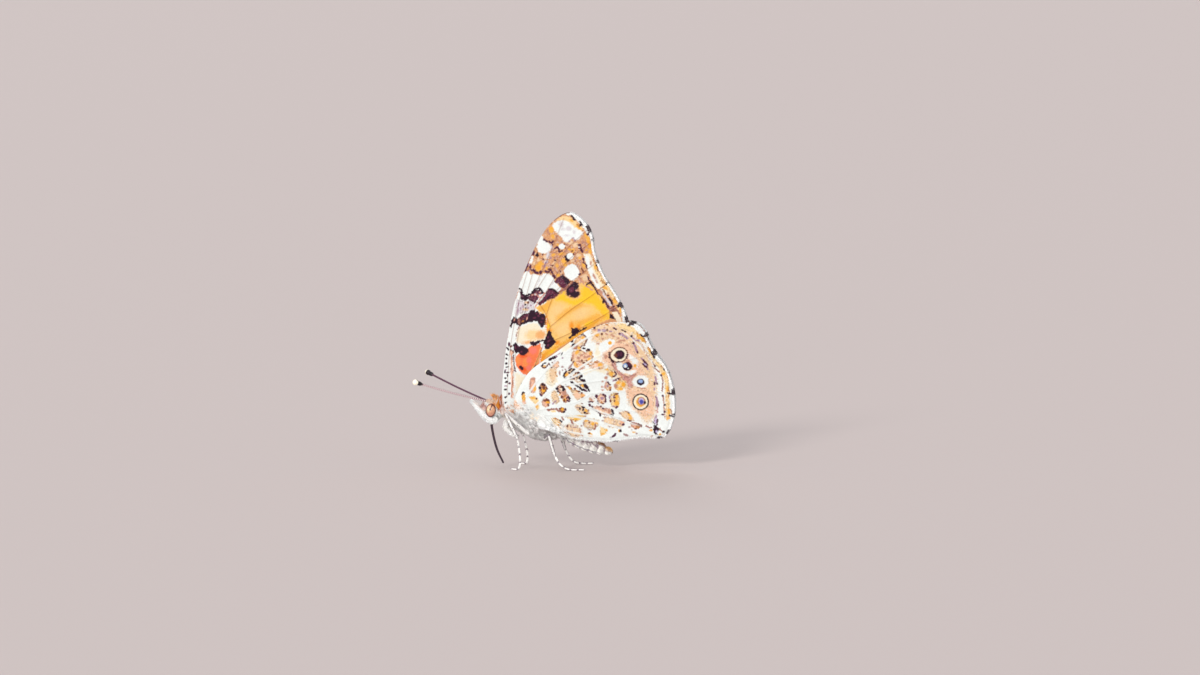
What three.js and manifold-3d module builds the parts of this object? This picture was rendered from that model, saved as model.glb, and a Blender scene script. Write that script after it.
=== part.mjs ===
import * as THREE from "three";
import { mergeVertices } from "three/addons/utils/BufferGeometryUtils.js";
import Module from "manifold-3d";

const wasm = await Module();
wasm.setup();

// A painted lady butterfly, standing with its wings closed over its back.
// Millimetres, +Z up, feet on z = 0. The head points to -X and the left side faces -Y.
// Most shapes are drawn in the side view, as [x, z], and are given a distance from the
// middle plane y = 0. Right-hand parts mirror the left-hand ones unless posed apart.

const gap = 0.3;
const centreShift = 0.1155;

// Wings
const membraneHalf = 0.25;
const veinLift = 0.15;
const veinHalfWidth = 0.4;
const veinStep = 1.25;
const marginStep = 1.1;
const fillStep = 1.65;
const marginClear = 0.62;
const foreInner = 0.65;
const foreSpread = 1.1;
const hindOverFore = 1.15;
const hindTailInner = 1.0;
const hindOverAbdomen = 2.4;
const hindRoot = [-2.1, 6.7];
const hindRootDip = 1.25;
const hindRootReach = 1.2;

const foreOutline = [
  [-6.4, 9.7], [-6.6, 11.6], [-6.1, 17.5], [-4.6, 25.1], [-3.2, 29.2], [-0.9, 33.9],
  [1.0, 36.2], [3.2, 37.3], [5.4, 36.0], [6.6, 33.9], [6.9, 31.7], [8.2, 28.4],
  [10.4, 24.8], [11.6, 22.0], [11.8, 20.4], [9.2, 18.1], [5.6, 15.5], [2.0, 12.9],
  [-0.9, 10.7], [-4.1, 7.5], [-5.7, 8.0],
];
const foreVeins = {
  subcosta: [[-5.8, 10.4], [-5.6, 15.9], [-4.4, 23.2], [-2.8, 29.0]],
  radius: [[-5.2, 10.4], [-4.8, 15.7], [-3.5, 23.3], [-1.4, 31.0]],
  sector: [[-4.3, 19.6], [-2.4, 25.1], [0.5, 31.6], [2.4, 36.4]],
  mediaOne: [[-2.4, 24.6], [0.2, 28.7], [2.7, 31.8], [6.0, 34.9]],
  mediaTwo: [[-1.2, 23.9], [0.4, 26.7], [2.7, 30.0], [6.9, 33.3]],
  mediaThree: [[-0.2, 22.3], [1.4, 26.0], [3.7, 27.4], [7.5, 30.3]],
  cubitusOne: [[0.4, 20.6], [3.4, 23.1], [6.3, 25.1], [9.1, 27.3]],
  cubitusTwo: [[-0.8, 18.0], [2.0, 19.1], [6.6, 21.4], [10.8, 23.9]],
  anal: [[-3.6, 10.4], [-0.5, 14.1], [5.6, 18.6], [11.3, 21.5]],
  cellEnd: [[-2.4, 24.6], [-1.2, 23.9], [-0.2, 22.3], [0.4, 20.6]],
  cubitus: [[-4.4, 11.1], [-2.2, 14.2], [-1.1, 16.8], [0.4, 20.6]],
};
const hindOutline = [
  [-4.7, 9.0], [-4.6, 10.4], [-2.8, 13.9], [1.4, 17.1], [6.0, 20.3], [8.9, 21.4],
  [11.7, 21.5], [13.6, 20.9], [15.5, 17.5], [17.5, 14.6], [18.5, 11.2], [18.5, 7.5],
  [17.2, 4.8], [13.6, 4.6], [8.6, 4.1], [3.7, 4.6], [0.2, 5.8], [-1.2, 6.1],
];
const hindVeins = {
  subcosta: [[-2.9, 10.6], [-0.2, 14.2], [6.3, 19.4], [12.3, 21.2]],
  sector: [[-1.6, 9.3], [2.0, 12.6], [7.0, 16.2], [14.4, 19.5]],
  mediaOne: [[2.0, 12.6], [6.3, 14.4], [11.0, 15.8], [15.5, 16.9]],
  mediaTwo: [[2.7, 12.2], [7.8, 12.9], [12.7, 13.8], [17.8, 14.1]],
  mediaThree: [[6.3, 11.0], [9.2, 11.3], [13.6, 11.4], [18.1, 11.2]],
  cubitusOne: [[6.3, 10.6], [7.8, 9.4], [13.6, 8.3], [18.5, 7.8]],
  cubitusTwo: [[4.1, 9.7], [9.4, 7.7], [12.8, 6.5], [17.1, 5.7]],
  cubitus: [[-0.9, 8.7], [2.0, 9.4], [4.1, 9.7], [6.3, 10.9]],
  analOne: [[-0.4, 8.0], [4.1, 7.7], [11.4, 5.8], [16.3, 4.7]],
  analTwo: [[1.2, 6.2], [4.1, 5.4], [9.9, 4.5]],
};

// Body, as stations [x, z, half width, height above, depth below]
const bodySides = 18;
const headStations = [
  [-9.55, 8.75, 0.35, 0.35, 0.35], [-9.25, 8.75, 0.75, 0.85, 0.75],
  [-8.7, 8.65, 1.0, 1.25, 1.1], [-8.1, 8.5, 1.1, 1.4, 1.25], [-7.5, 8.4, 1.0, 1.2, 1.1],
  [-7.1, 8.35, 0.75, 0.8, 0.8],
];
const thoraxStations = [
  [-6.75, 8.6, 0.8, 1.75, 0.9], [-6.3, 8.7, 1.35, 1.95, 1.35], [-5.4, 8.45, 1.85, 1.85, 1.95],
  [-4.3, 8.0, 2.05, 2.15, 2.3], [-3.1, 7.5, 2.1, 2.2, 2.5], [-1.9, 6.95, 2.05, 2.0, 2.6],
  [-0.8, 6.4, 1.85, 1.65, 2.4], [0.2, 5.9, 1.45, 1.25, 1.9], [0.8, 5.6, 1.0, 0.95, 1.15],
];
const abdomenSpine = [
  [1.08, 5.45], [2.8, 5.2], [4.2, 4.55], [5.8, 3.7], [7.4, 2.95], [8.6, 2.55], [9.25, 2.35],
];
const abdomenSegments = 8;
const abdomenHalf = [0.95, 1.3, 1.48, 1.5, 1.4, 1.2, 0.95, 0.62];
const segmentNarrowing = 0.08;

// Head fittings
const eyeCentre = [-8.24, 1.03, 8.4];
const eyeHalf = [0.72, 0.47, 0.97];
const eyeTilt = 0.12;
const palpSpread = 0.8;
const palpPath = [
  [-7.3, 7.35], [-7.9, 6.85], [-8.8, 7.2], [-9.8, 8.3], [-10.6, 9.15], [-11.15, 9.6],
];
const palpRadii = [0.3, 0.42, 0.4, 0.34, 0.27, 0.18];
const proboscisPath = [[-8.2, 7.4], [-8.25, 6.3], [-8.0, 4.7], [-7.45, 2.6], [-6.5, 0.55]];
const proboscisRadii = [0.27, 0.26, 0.25, 0.25, 0.2];
const antennaBase = [-8.95, 0.35, 9.65];
const antennaTip = [-18.77, 8.2, 13.14];
const antennaSag = 0.13;
const antennaRadius = 0.25;
const clubRadius = 0.45;
const clubShare = 0.115;

// Legs, each joint as [x, y, z] on the left side
const legSides = 8;
const femurRadius = 0.34;
const tibiaRadius = 0.28;
const tarsusRadius = 0.25;
const footHeight = 0.2;
const legs = {
  mid_leg_left: {
    side: -1,
    hip: [-2.6, 1.3, 4.9], knee: [-5.95, 3.15, 8.2], ankle: [-4.1, 3.6, 4.5],
    foot: [[-3.75, 3.9, 2.2], [-3.7, 4.0, 1.0], [-3.95, 4.05, footHeight], [-5.1, 4.2, footHeight]],
  },
  mid_leg_right: {
    side: 1,
    hip: [-2.6, 1.3, 4.9], knee: [-5.7, 3.15, 8.1], ankle: [-4.0, 3.6, 4.4],
    foot: [[-3.5, 3.9, 2.2], [-3.4, 4.0, 1.0], [-3.6, 4.05, footHeight], [-4.75, 4.2, footHeight]],
  },
  hind_leg_left: {
    side: -1,
    hip: [-0.4, 1.1, 4.3], knee: [0.45, 4.0, 5.1], ankle: [1.35, 4.2, 2.2],
    foot: [[2.0, 4.3, 1.1], [2.7, 4.35, 0.5], [3.5, 4.4, footHeight], [5.8, 4.6, footHeight]],
  },
  hind_leg_right: {
    side: 1,
    hip: [-0.4, 1.1, 4.3], knee: [1.2, 4.0, 5.2], ankle: [2.1, 4.2, 2.3],
    foot: [[2.7, 4.3, 1.15], [3.3, 4.35, 0.5], [4.1, 4.4, footHeight], [6.3, 4.6, footHeight]],
  },
};
const forelegPath = [[-5.9, 1.0, 7.0], [-6.1, 1.15, 6.0], [-5.2, 1.2, 4.95], [-4.7, 1.2, 4.6]];
const forelegRadii = [0.32, 0.34, 0.3, 0.2];

const colours = {
  eye: 0xc68354, hair: 0xdcd9cf, body: 0xe9e0d2, palp: 0xf4f3ec, proboscis: 0x4a2f35,
  antenna: 0x5a3440, foreWing: 0xf2b25a, hindWing: 0xe6d3bd, leg: 0xe7dccb,
};

function smooth(low, high, value) {
  const t = THREE.MathUtils.clamp((value - low) / (high - low), 0, 1);
  return t * t * (3 - 2 * t);
}

function distanceToLine(x, z, start, end) {
  const alongX = end[0] - start[0];
  const alongZ = end[1] - start[1];
  const share = ((x - start[0]) * alongX + (z - start[1]) * alongZ) / (alongX ** 2 + alongZ ** 2);
  const t = THREE.MathUtils.clamp(share, 0, 1);
  return Math.hypot(x - start[0] - t * alongX, z - start[1] - t * alongZ);
}

// How far a wing's middle surface stands from the middle plane of the body
function nearThorax(x, z) {
  return 1 - smooth(2, 6, distanceToLine(x, z, [-6.6, 9.0], [0.7, 5.5]));
}

function nearAbdomen(x, z) {
  return 1 - smooth(1.5, 4.5, distanceToLine(x, z, [1.5, 5.4], [9.2, 2.4]));
}

function foreDistance(x, z) {
  return foreInner + foreSpread * nearThorax(x, z);
}

function hindDistance(x, z) {
  const behindFore = (x + 3) * 0.61 - (z - 9) * 0.79;
  const flat = foreInner + hindOverFore;
  let distance = flat + (hindTailInner - flat) * smooth(1, 8, behindFore);
  distance += (hindOverAbdomen - distance) * nearAbdomen(x, z);
  const overThorax = Math.max(distance, flat + foreSpread);
  distance += (overThorax - distance) * nearThorax(x, z);
  const fromRoot = Math.hypot(x - hindRoot[0], z - hindRoot[1]);
  return distance - hindRootDip * Math.exp(-(fromRoot ** 2) / (2 * hindRootReach ** 2));
}

function indexedGeometry(positions, indices) {
  const geometry = new THREE.BufferGeometry();
  geometry.setAttribute("position", new THREE.Float32BufferAttribute(positions, 3));
  geometry.setIndex(indices);
  return geometry;
}

function solidOf(geometry) {
  const bare = geometry.clone();
  bare.deleteAttribute("normal");
  bare.deleteAttribute("uv");
  const merged = mergeVertices(bare, 1e-4);
  return new wasm.Manifold(new wasm.Mesh({
    numProp: 3,
    vertProperties: merged.attributes.position.array,
    triVerts: new Uint32Array(merged.index.array),
  }));
}

function geometryOf(solid) {
  const mesh = solid.getMesh();
  return indexedGeometry(mesh.vertProperties, Array.from(mesh.triVerts));
}

// Cuts a piece clear of its neighbours and keeps its largest body
function cutBy(geometry, cutters) {
  let solid = solidOf(geometry);
  for (const cutter of cutters) {
    solid = solid.subtract(solidOf(cutter));
  }
  const bodies = solid.decompose();
  bodies.sort((first, second) => second.volume() - first.volume());
  return geometryOf(bodies[0]);
}

function mirrored(geometry) {
  const copy = geometry.clone();
  copy.scale(1, -1, 1);
  const index = copy.index.array;
  for (let i = 0; i < index.length; i += 3) {
    const first = index[i];
    index[i] = index[i + 1];
    index[i + 1] = first;
  }
  return copy;
}

// Joins rings of equal count into a closed skin with a fan over each end
function skinOverRings(rings) {
  const sides = rings[0].length;
  const positions = [];
  const indices = [];
  for (const ring of rings) {
    for (const point of ring) {
      positions.push(point.x, point.y, point.z);
    }
  }
  for (let i = 0; i < rings.length - 1; i += 1) {
    for (let j = 0; j < sides; j += 1) {
      const a = i * sides + j;
      const b = i * sides + (j + 1) % sides;
      indices.push(a, b, b + sides, a, b + sides, a + sides);
    }
  }
  for (const end of [0, rings.length - 1]) {
    const centre = new THREE.Vector3();
    rings[end].forEach((point) => centre.addScaledVector(point, 1 / sides));
    const hub = positions.length / 3;
    positions.push(centre.x, centre.y, centre.z);
    for (let j = 0; j < sides; j += 1) {
      const a = end * sides + j;
      const b = end * sides + (j + 1) % sides;
      if (end === 0) {
        indices.push(hub, b, a);
      } else {
        indices.push(hub, a, b);
      }
    }
  }
  return indexedGeometry(positions, indices);
}

// A body form along its spine, each station square to the spine
function bodyForm(stations, extra) {
  const rings = stations.map(([x, z, halfWidth, above, below], i) => {
    const before = stations[Math.max(i - 1, 0)];
    const after = stations[Math.min(i + 1, stations.length - 1)];
    const slope = Math.atan2(after[1] - before[1], after[0] - before[0]);
    const end = (i === 0 ? -1 : 0) + (i === stations.length - 1 ? 1 : 0);
    const ring = [];
    for (let j = 0; j < bodySides; j += 1) {
      const angle = (2 * Math.PI * j) / bodySides;
      const rise = Math.sin(angle) * ((Math.sin(angle) > 0 ? above : below) + extra);
      ring.push(new THREE.Vector3(
        x + end * extra * Math.cos(slope) - rise * Math.sin(slope),
        Math.cos(angle) * (halfWidth + extra),
        z + end * extra * Math.sin(slope) + rise * Math.cos(slope),
      ));
    }
    return ring;
  });
  return skinOverRings(rings);
}

// Each abdomen segment is widest at its hind edge and laps over the next one's front
function abdomenStations() {
  const spine = new THREE.CatmullRomCurve3(abdomenSpine.map(([x, z]) => new THREE.Vector3(x, 0, z)));
  const stations = [];
  for (let i = 0; i < abdomenSegments; i += 1) {
    const half = abdomenHalf[i];
    for (const share of [0.04, 0.8]) {
      const point = spine.getPointAt((i + share) / abdomenSegments);
      const size = half * (share < 0.5 ? 1 - segmentNarrowing : 1);
      stations.push([point.x, point.z, size, size * 0.97, size]);
    }
  }
  const tip = spine.getPointAt(1);
  stations.push([tip.x, tip.z, 0.35, 0.35, 0.35]);
  return stations;
}

// A tapered limb along a smooth path of [x, y, z] points
function limb(path, radii, sides, steps) {
  const curve = new THREE.CatmullRomCurve3(path.map((point) => new THREE.Vector3(...point)));
  const frames = curve.computeFrenetFrames(steps, false);
  const rings = [];
  for (let i = 0; i <= steps; i += 1) {
    const centre = curve.getPointAt(i / steps);
    const place = (i / steps) * (radii.length - 1);
    const low = Math.min(Math.floor(place), radii.length - 2);
    const radius = radii[low] + (radii[low + 1] - radii[low]) * (place - low);
    const ring = [];
    for (let j = 0; j < sides; j += 1) {
      const angle = (2 * Math.PI * (j + 0.5)) / sides;
      const point = centre.clone();
      point.addScaledVector(frames.normals[i], radius * Math.cos(angle));
      point.addScaledVector(frames.binormals[i], radius * Math.sin(angle));
      ring.push(point);
    }
    rings.push(ring);
  }
  return skinOverRings(rings);
}

// Flattens whatever of a foot would reach below the floor
function flatFooted(geometry) {
  const position = geometry.attributes.position;
  for (let i = 0; i < position.count; i += 1) {
    position.setZ(i, Math.max(position.getZ(i), 0));
  }
  return geometry;
}

function towards(from, to, length) {
  const start = new THREE.Vector3(...from);
  const way = new THREE.Vector3(...to).sub(start).normalize();
  return start.addScaledVector(way, length).toArray();
}

function insideOutline(outline, x, z) {
  let inside = false;
  for (let i = 0; i < outline.length; i += 1) {
    const a = outline[i];
    const b = outline[(i + 1) % outline.length];
    if ((a[1] > z) !== (b[1] > z) && x < a[0] + ((z - a[1]) * (b[0] - a[0])) / (b[1] - a[1])) {
      inside = !inside;
    }
  }
  return inside;
}

function distanceToOutline(outline, x, z) {
  let nearest = Infinity;
  for (let i = 0; i < outline.length; i += 1) {
    nearest = Math.min(nearest, distanceToLine(x, z, outline[i], outline[(i + 1) % outline.length]));
  }
  return nearest;
}

function smoothPath(points, closed, step) {
  const curve = new THREE.CatmullRomCurve3(
    points.map(([x, z]) => new THREE.Vector3(x, z, 0)), closed, "centripetal",
  );
  const count = Math.max(2, Math.round(curve.getLength() / step));
  const path = [];
  for (let i = 0; i < (closed ? count : count + 1); i += 1) {
    const point = curve.getPointAt(i / count);
    const tangent = curve.getTangentAt(i / count);
    path.push({ at: [point.x, point.y], side: [-tangent.y, tangent.x] });
  }
  return path;
}

// Points of a wing: its margin, crests and feet of its veins, and the membrane between
function wingPoints(outlineShape, veins) {
  const outline = smoothPath(outlineShape, true, marginStep).map((station) => station.at);
  const points = outline.map((at) => ({ at, lift: 0 }));
  const crests = [];
  const clear = (list, at, reach) => (
    list.every((other) => Math.hypot(other.at[0] - at[0], other.at[1] - at[1]) >= reach)
  );
  const fits = (at, margin) => (
    insideOutline(outline, ...at) && distanceToOutline(outline, ...at) >= margin
  );
  const stations = Object.values(veins).flatMap((vein, number) => (
    smoothPath(vein, false, veinStep).map((station) => ({ ...station, number }))
  ));
  for (const station of stations) {
    const others = crests.filter((crest) => crest.number !== station.number);
    if (fits(station.at, marginClear) && clear(others, station.at, 2 * veinHalfWidth)) {
      crests.push({ at: station.at, side: station.side, number: station.number, lift: veinLift });
    }
  }
  points.push(...crests);
  for (const crest of crests) {
    for (const way of [-1, 1]) {
      const at = crest.at.map((value, i) => value + way * veinHalfWidth * crest.side[i]);
      const others = points.filter((point) => point !== crest);
      if (fits(at, marginClear) && clear(others, at, 0.9 * veinHalfWidth)) {
        points.push({ at, lift: 0 });
      }
    }
  }
  const columns = Math.ceil(30 / fillStep);
  const rows = Math.ceil(40 / fillStep);
  for (let row = 0; row < rows; row += 1) {
    for (let column = 0; column < columns; column += 1) {
      const wobble = 0.05 * Math.sin(row * 12.9 + column * 78.2);
      const at = [
        -8 + (column + (row % 2) / 2) * fillStep + wobble,
        3 + row * fillStep * 0.87 - wobble,
      ];
      if (fits(at, marginClear) && clear(points, at, 0.62 * fillStep)) {
        points.push({ at, lift: 0 });
      }
    }
  }
  return { outline, points };
}

// Delaunay triangles of [x, z] points, each counter-clockwise seen from -Y
function delaunay(places) {
  const far = 1000;
  const all = [...places, [-far, -far], [far, -far], [0, far]];
  const count = places.length;
  const withCircle = (a, b, c) => {
    const [ax, az] = all[a];
    const [bx, bz] = [all[b][0] - ax, all[b][1] - az];
    const [cx, cz] = [all[c][0] - ax, all[c][1] - az];
    const area = 2 * (bx * cz - bz * cx);
    const ux = (cz * (bx * bx + bz * bz) - bz * (cx * cx + cz * cz)) / area;
    const uz = (bx * (cx * cx + cz * cz) - cx * (bx * bx + bz * bz)) / area;
    return { corners: [a, b, c], x: ax + ux, z: az + uz, square: ux * ux + uz * uz };
  };
  let triangles = [withCircle(count, count + 1, count + 2)];
  for (let i = 0; i < count; i += 1) {
    const [x, z] = all[i];
    const open = new Map();
    const kept = [];
    for (const triangle of triangles) {
      if ((x - triangle.x) ** 2 + (z - triangle.z) ** 2 >= triangle.square) {
        kept.push(triangle);
        continue;
      }
      for (let j = 0; j < 3; j += 1) {
        const a = triangle.corners[j];
        const b = triangle.corners[(j + 1) % 3];
        if (!open.delete(`${b} ${a}`)) {
          open.set(`${a} ${b}`, [a, b]);
        }
      }
    }
    triangles = kept;
    for (const [a, b] of open.values()) {
      triangles.push(withCircle(a, b, i));
    }
  }
  return triangles.map((triangle) => triangle.corners).filter((corners) => Math.max(...corners) < count);
}

// The left wing: one triangulation for both faces, joined round the margin
function wingPlate(outlineShape, veins, distanceAt) {
  const { outline, points } = wingPoints(outlineShape, veins);
  const triangles = delaunay(points.map((point) => point.at)).filter((corners) => {
    const x = corners.reduce((sum, i) => sum + points[i].at[0] / 3, 0);
    const z = corners.reduce((sum, i) => sum + points[i].at[1] / 3, 0);
    return insideOutline(outline, x, z);
  });
  const positions = [];
  for (const face of [1, -1]) {
    for (const { at, lift } of points) {
      positions.push(at[0], -(distanceAt(...at) + face * (membraneHalf + lift)), at[1]);
    }
  }
  const inner = points.length;
  const indices = [];
  const rim = new Map();
  for (const [a, b, c] of triangles) {
    indices.push(a, b, c, c + inner, b + inner, a + inner);
    for (const [from, to] of [[a, b], [b, c], [c, a]]) {
      if (!rim.delete(`${to} ${from}`)) {
        rim.set(`${from} ${to}`, [from, to]);
      }
    }
  }
  for (const [a, b] of rim.values()) {
    indices.push(b, a, a + inner, b, a + inner, b + inner);
  }
  return indexedGeometry(positions, indices);
}

function eyeForm(extra) {
  const eye = new THREE.SphereGeometry(1, 18, 12);
  eye.rotateX(Math.PI / 2);
  eye.scale(...eyeHalf.map((half) => half + extra));
  eye.rotateY(eyeTilt);
  eye.translate(eyeCentre[0], -eyeCentre[1], eyeCentre[2]);
  return eye;
}

function palpForm() {
  const curve = palpPath.map(([x, z], i) => [x, -palpSpread + 0.04 * i, z]);
  return limb(curve, palpRadii, 8, 12);
}

function proboscisForm() {
  return limb(proboscisPath.map(([x, z]) => [x, 0, z]), proboscisRadii, 8, 14);
}

// A thin shaft that sags a little and ends in a short club
function antennaForm() {
  const base = new THREE.Vector3(antennaBase[0], -antennaBase[1], antennaBase[2]);
  const tip = new THREE.Vector3(antennaTip[0], -antennaTip[1], antennaTip[2]);
  const path = [0, 0.25, 0.5, 0.75, 1].map((share) => {
    const point = base.clone().lerp(tip, share);
    point.z -= antennaSag * Math.sin(Math.PI * share);
    return point.toArray();
  });
  const steps = 24;
  const radii = [];
  for (let i = 0; i <= steps; i += 1) {
    const fromTip = 1 - i / steps;
    const swell = 1 - smooth(clubShare * 0.7, clubShare * 1.2, fromTip);
    const rounding = Math.sqrt(THREE.MathUtils.clamp(fromTip / 0.03 + 0.15, 0, 1));
    radii.push((antennaRadius + (clubRadius - antennaRadius) * swell) * rounding);
  }
  return limb(path, radii, 8, steps);
}

const group = new THREE.Group();
group.position.x = centreShift;

function addPart(name, geometry, colour, roughness) {
  const material = new THREE.MeshStandardMaterial({ color: colour, roughness, metalness: 0 });
  const mesh = new THREE.Mesh(geometry, material);
  mesh.name = name;
  group.add(mesh);
}

function addPair(name, geometry, colour, roughness) {
  addPart(`${name}_left`, geometry, colour, roughness);
  addPart(`${name}_right`, mirrored(geometry), colour, roughness);
}

const abdomen = abdomenStations();
const sockets = [eyeForm(gap), mirrored(mergeVertices(eyeForm(gap)))];
const headRoom = bodyForm(headStations, gap);
const thoraxRoom = bodyForm(thoraxStations, gap);
const abdomenRoom = bodyForm(abdomen, gap);

addPart("head", cutBy(bodyForm(headStations, 0), sockets), colours.hair, 0.9);
addPart("thorax", bodyForm(thoraxStations, 0), colours.hair, 0.95);
addPart("abdomen", bodyForm(abdomen, 0), colours.body, 0.9);
addPair("eye", cutBy(eyeForm(0), []), colours.eye, 0.25);
addPair("palp", cutBy(palpForm(), [headRoom, eyeForm(gap)]), colours.palp, 0.95);
addPart("proboscis", cutBy(proboscisForm(), [headRoom]), colours.proboscis, 0.5);
addPair("antenna", cutBy(antennaForm(), [headRoom]), colours.antenna, 0.6);
const foreWing = wingPlate(foreOutline, foreVeins, foreDistance);
const hindWing = wingPlate(hindOutline, hindVeins, hindDistance);
addPair("forewing", cutBy(foreWing, [thoraxRoom]), colours.foreWing, 0.8);
addPair("hindwing", cutBy(hindWing, [thoraxRoom, abdomenRoom]), colours.hindWing, 0.8);
const foreleg = limb(forelegPath.map(([x, y, z]) => [x, -y, z]), forelegRadii, legSides, 8);
addPair("foreleg", cutBy(foreleg, [thoraxRoom]), colours.leg, 0.9);

for (const [name, leg] of Object.entries(legs)) {
  const placed = ([x, y, z]) => [x, leg.side * y, z];
  const hip = placed(leg.hip);
  const knee = placed(leg.knee);
  const ankle = placed(leg.ankle);
  const femurPath = [hip, towards(hip, knee, 1.5), towards(knee, hip, 1), knee];
  const femurRadii = [femurRadius, femurRadius * 1.05, femurRadius, femurRadius * 0.8];
  const tibiaPath = [knee, towards(knee, ankle, 1.3), ankle];
  const tibiaRadii = [tibiaRadius, tibiaRadius, tibiaRadius * 0.95];
  const tarsusPath = [ankle, ...leg.foot.map(placed)];
  const tarsusRadii = tarsusPath.map(() => tarsusRadius);
  const wider = (radii) => radii.map((radius) => radius + gap);
  const femur = limb(femurPath, femurRadii, legSides, 6);
  const femurRoom = limb(femurPath, wider(femurRadii), legSides, 6);
  const tibia = limb(tibiaPath, tibiaRadii, legSides, 6);
  const tibiaRoom = limb(tibiaPath, wider(tibiaRadii), legSides, 6);
  const tarsus = flatFooted(limb(tarsusPath, tarsusRadii, legSides, 16));
  addPart(`${name}_femur`, cutBy(femur, [thoraxRoom]), colours.leg, 0.85);
  addPart(`${name}_tibia`, cutBy(tibia, [femurRoom]), colours.leg, 0.85);
  addPart(`${name}_tarsus`, cutBy(tarsus, [tibiaRoom]), colours.leg, 0.85);
}

export default group;
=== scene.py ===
import math
import bpy
import numpy as np
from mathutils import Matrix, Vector


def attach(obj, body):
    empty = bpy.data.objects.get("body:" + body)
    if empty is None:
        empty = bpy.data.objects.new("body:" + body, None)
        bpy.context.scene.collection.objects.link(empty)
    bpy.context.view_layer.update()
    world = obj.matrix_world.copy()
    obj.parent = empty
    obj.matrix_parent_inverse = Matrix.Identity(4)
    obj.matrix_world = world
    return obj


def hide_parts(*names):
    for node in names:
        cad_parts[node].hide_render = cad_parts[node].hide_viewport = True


# A painted lady butterfly with its wings closed over its back.
# Shapes are worked out in millimetres and written to the meshes in metres.
# Places are [x, z] in the side view, and y is the distance from the middle plane.

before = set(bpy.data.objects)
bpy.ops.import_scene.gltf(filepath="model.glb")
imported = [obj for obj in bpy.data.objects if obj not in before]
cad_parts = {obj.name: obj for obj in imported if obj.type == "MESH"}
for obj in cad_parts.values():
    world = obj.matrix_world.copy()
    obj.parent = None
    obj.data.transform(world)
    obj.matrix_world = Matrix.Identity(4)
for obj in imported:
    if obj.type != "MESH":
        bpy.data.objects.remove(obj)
bpy.ops.object.select_all(action="DESELECT")
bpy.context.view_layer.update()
rng = np.random.default_rng(11)
mm = 0.001
# The overall box is centred by this shift along x
centreShift = 0.1155
fullTurn = 2 * math.pi

palette = {
    "white": (0.93, 0.95, 0.93), "chalk": (0.96, 0.975, 0.96), "pearl": (0.88, 0.85, 0.86),
    "cream": (0.98, 0.93, 0.82), "sand": (0.95, 0.81, 0.65), "peach": (0.97, 0.79, 0.66),
    "peachTan": (0.95, 0.71, 0.58), "peachOrange": (0.96, 0.7, 0.44), "honey": (0.99, 0.85, 0.62),
    "amber": (0.97, 0.71, 0.29), "gold": (0.98, 0.74, 0.18), "ochre": (0.76, 0.5, 0.27),
    "orange": (0.97, 0.68, 0.2), "deep": (0.97, 0.6, 0.15), "yellow": (1.0, 0.79, 0.17),
    "fieldPale": (1.0, 0.8, 0.45), "fieldPeach": (0.99, 0.82, 0.55), "red": (0.98, 0.5, 0.3),
    "redOrange": (0.98, 0.57, 0.3), "redDeep": (0.96, 0.37, 0.15), "redPink": (0.99, 0.5, 0.42),
    "rosy": (0.84, 0.6, 0.54), "rosyTan": (0.78, 0.56, 0.47), "rosyBrown": (0.63, 0.4, 0.35),
    "mauve": (0.68, 0.54, 0.62), "mauveTan": (0.68, 0.55, 0.54), "lilac": (0.76, 0.7, 0.84),
    "brown": (0.46, 0.24, 0.17), "plum": (0.33, 0.13, 0.24), "purple": (0.4, 0.15, 0.25),
    "dark": (0.17, 0.04, 0.13), "blueGrey": (0.6, 0.7, 0.88), "blue": (0.3, 0.3, 0.66),
    "umber": (0.42, 0.28, 0.2), "tan": (0.87, 0.63, 0.44),
}


def linear(colour):
    colour = np.array(colour)
    return np.where(colour <= 0.04045, colour / 12.92, ((colour + 0.055) / 1.055) ** 2.4)


def plainTint(colour, count):
    return np.tile(linear(colour), (count, 1))


def blendTint(tints, cover, colour):
    tints += (linear(colour) - tints) * np.reshape(cover, (-1, 1))


# Wing scales reflect less than the hairs do
scaleTone = 0.73
paint = {name: linear(colour) * scaleTone for name, colour in palette.items()}


def smooth(low, high, value):
    t = np.clip((value - low) / (high - low), 0, 1)
    return t * t * (3 - 2 * t)


def segmentDistance(x, z, start, end):
    alongX, alongZ = end[0] - start[0], end[1] - start[1]
    length = max(alongX**2 + alongZ**2, 1e-9)
    t = np.clip(((x - start[0]) * alongX + (z - start[1]) * alongZ) / length, 0, 1)
    return np.hypot(x - start[0] - t * alongX, z - start[1] - t * alongZ)


def pathDistance(x, z, path):
    nearest = np.full(x.shape, 1e3)
    for start, end in zip(path[:-1], path[1:]):
        nearest = np.minimum(nearest, segmentDistance(x, z, start, end))
    return nearest


def splineThrough(points, closed, perSpan=10):
    points = np.array(points, float)
    count = len(points)
    if closed:
        padded = np.vstack([points[-1:], points, points[:2]])
    else:
        padded = np.vstack([2 * points[:1] - points[1:2], points, 2 * points[-1:] - points[-2:-1]])
    path = []
    for i in range(count if closed else count - 1):
        a, b, c, d = padded[i:i + 4]
        ta = 0
        tb = ta + np.linalg.norm(b - a) ** 0.5
        tc = tb + np.linalg.norm(c - b) ** 0.5
        td = tc + np.linalg.norm(d - c) ** 0.5
        t = np.linspace(tb, tc, perSpan, endpoint=False)[:, None]
        ab = (tb - t) / (tb - ta) * a + (t - ta) / (tb - ta) * b
        bc = (tc - t) / (tc - tb) * b + (t - tb) / (tc - tb) * c
        cd = (td - t) / (td - tc) * c + (t - tc) / (td - tc) * d
        abc = (tc - t) / (tc - ta) * ab + (t - ta) / (tc - ta) * bc
        bcd = (td - t) / (td - tb) * bc + (t - tb) / (td - tb) * cd
        path.append((tc - t) / (tc - tb) * abc + (t - tb) / (tc - tb) * bcd)
    path = np.vstack(path)
    return path if closed else np.vstack([path, points[-1:]])


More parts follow.
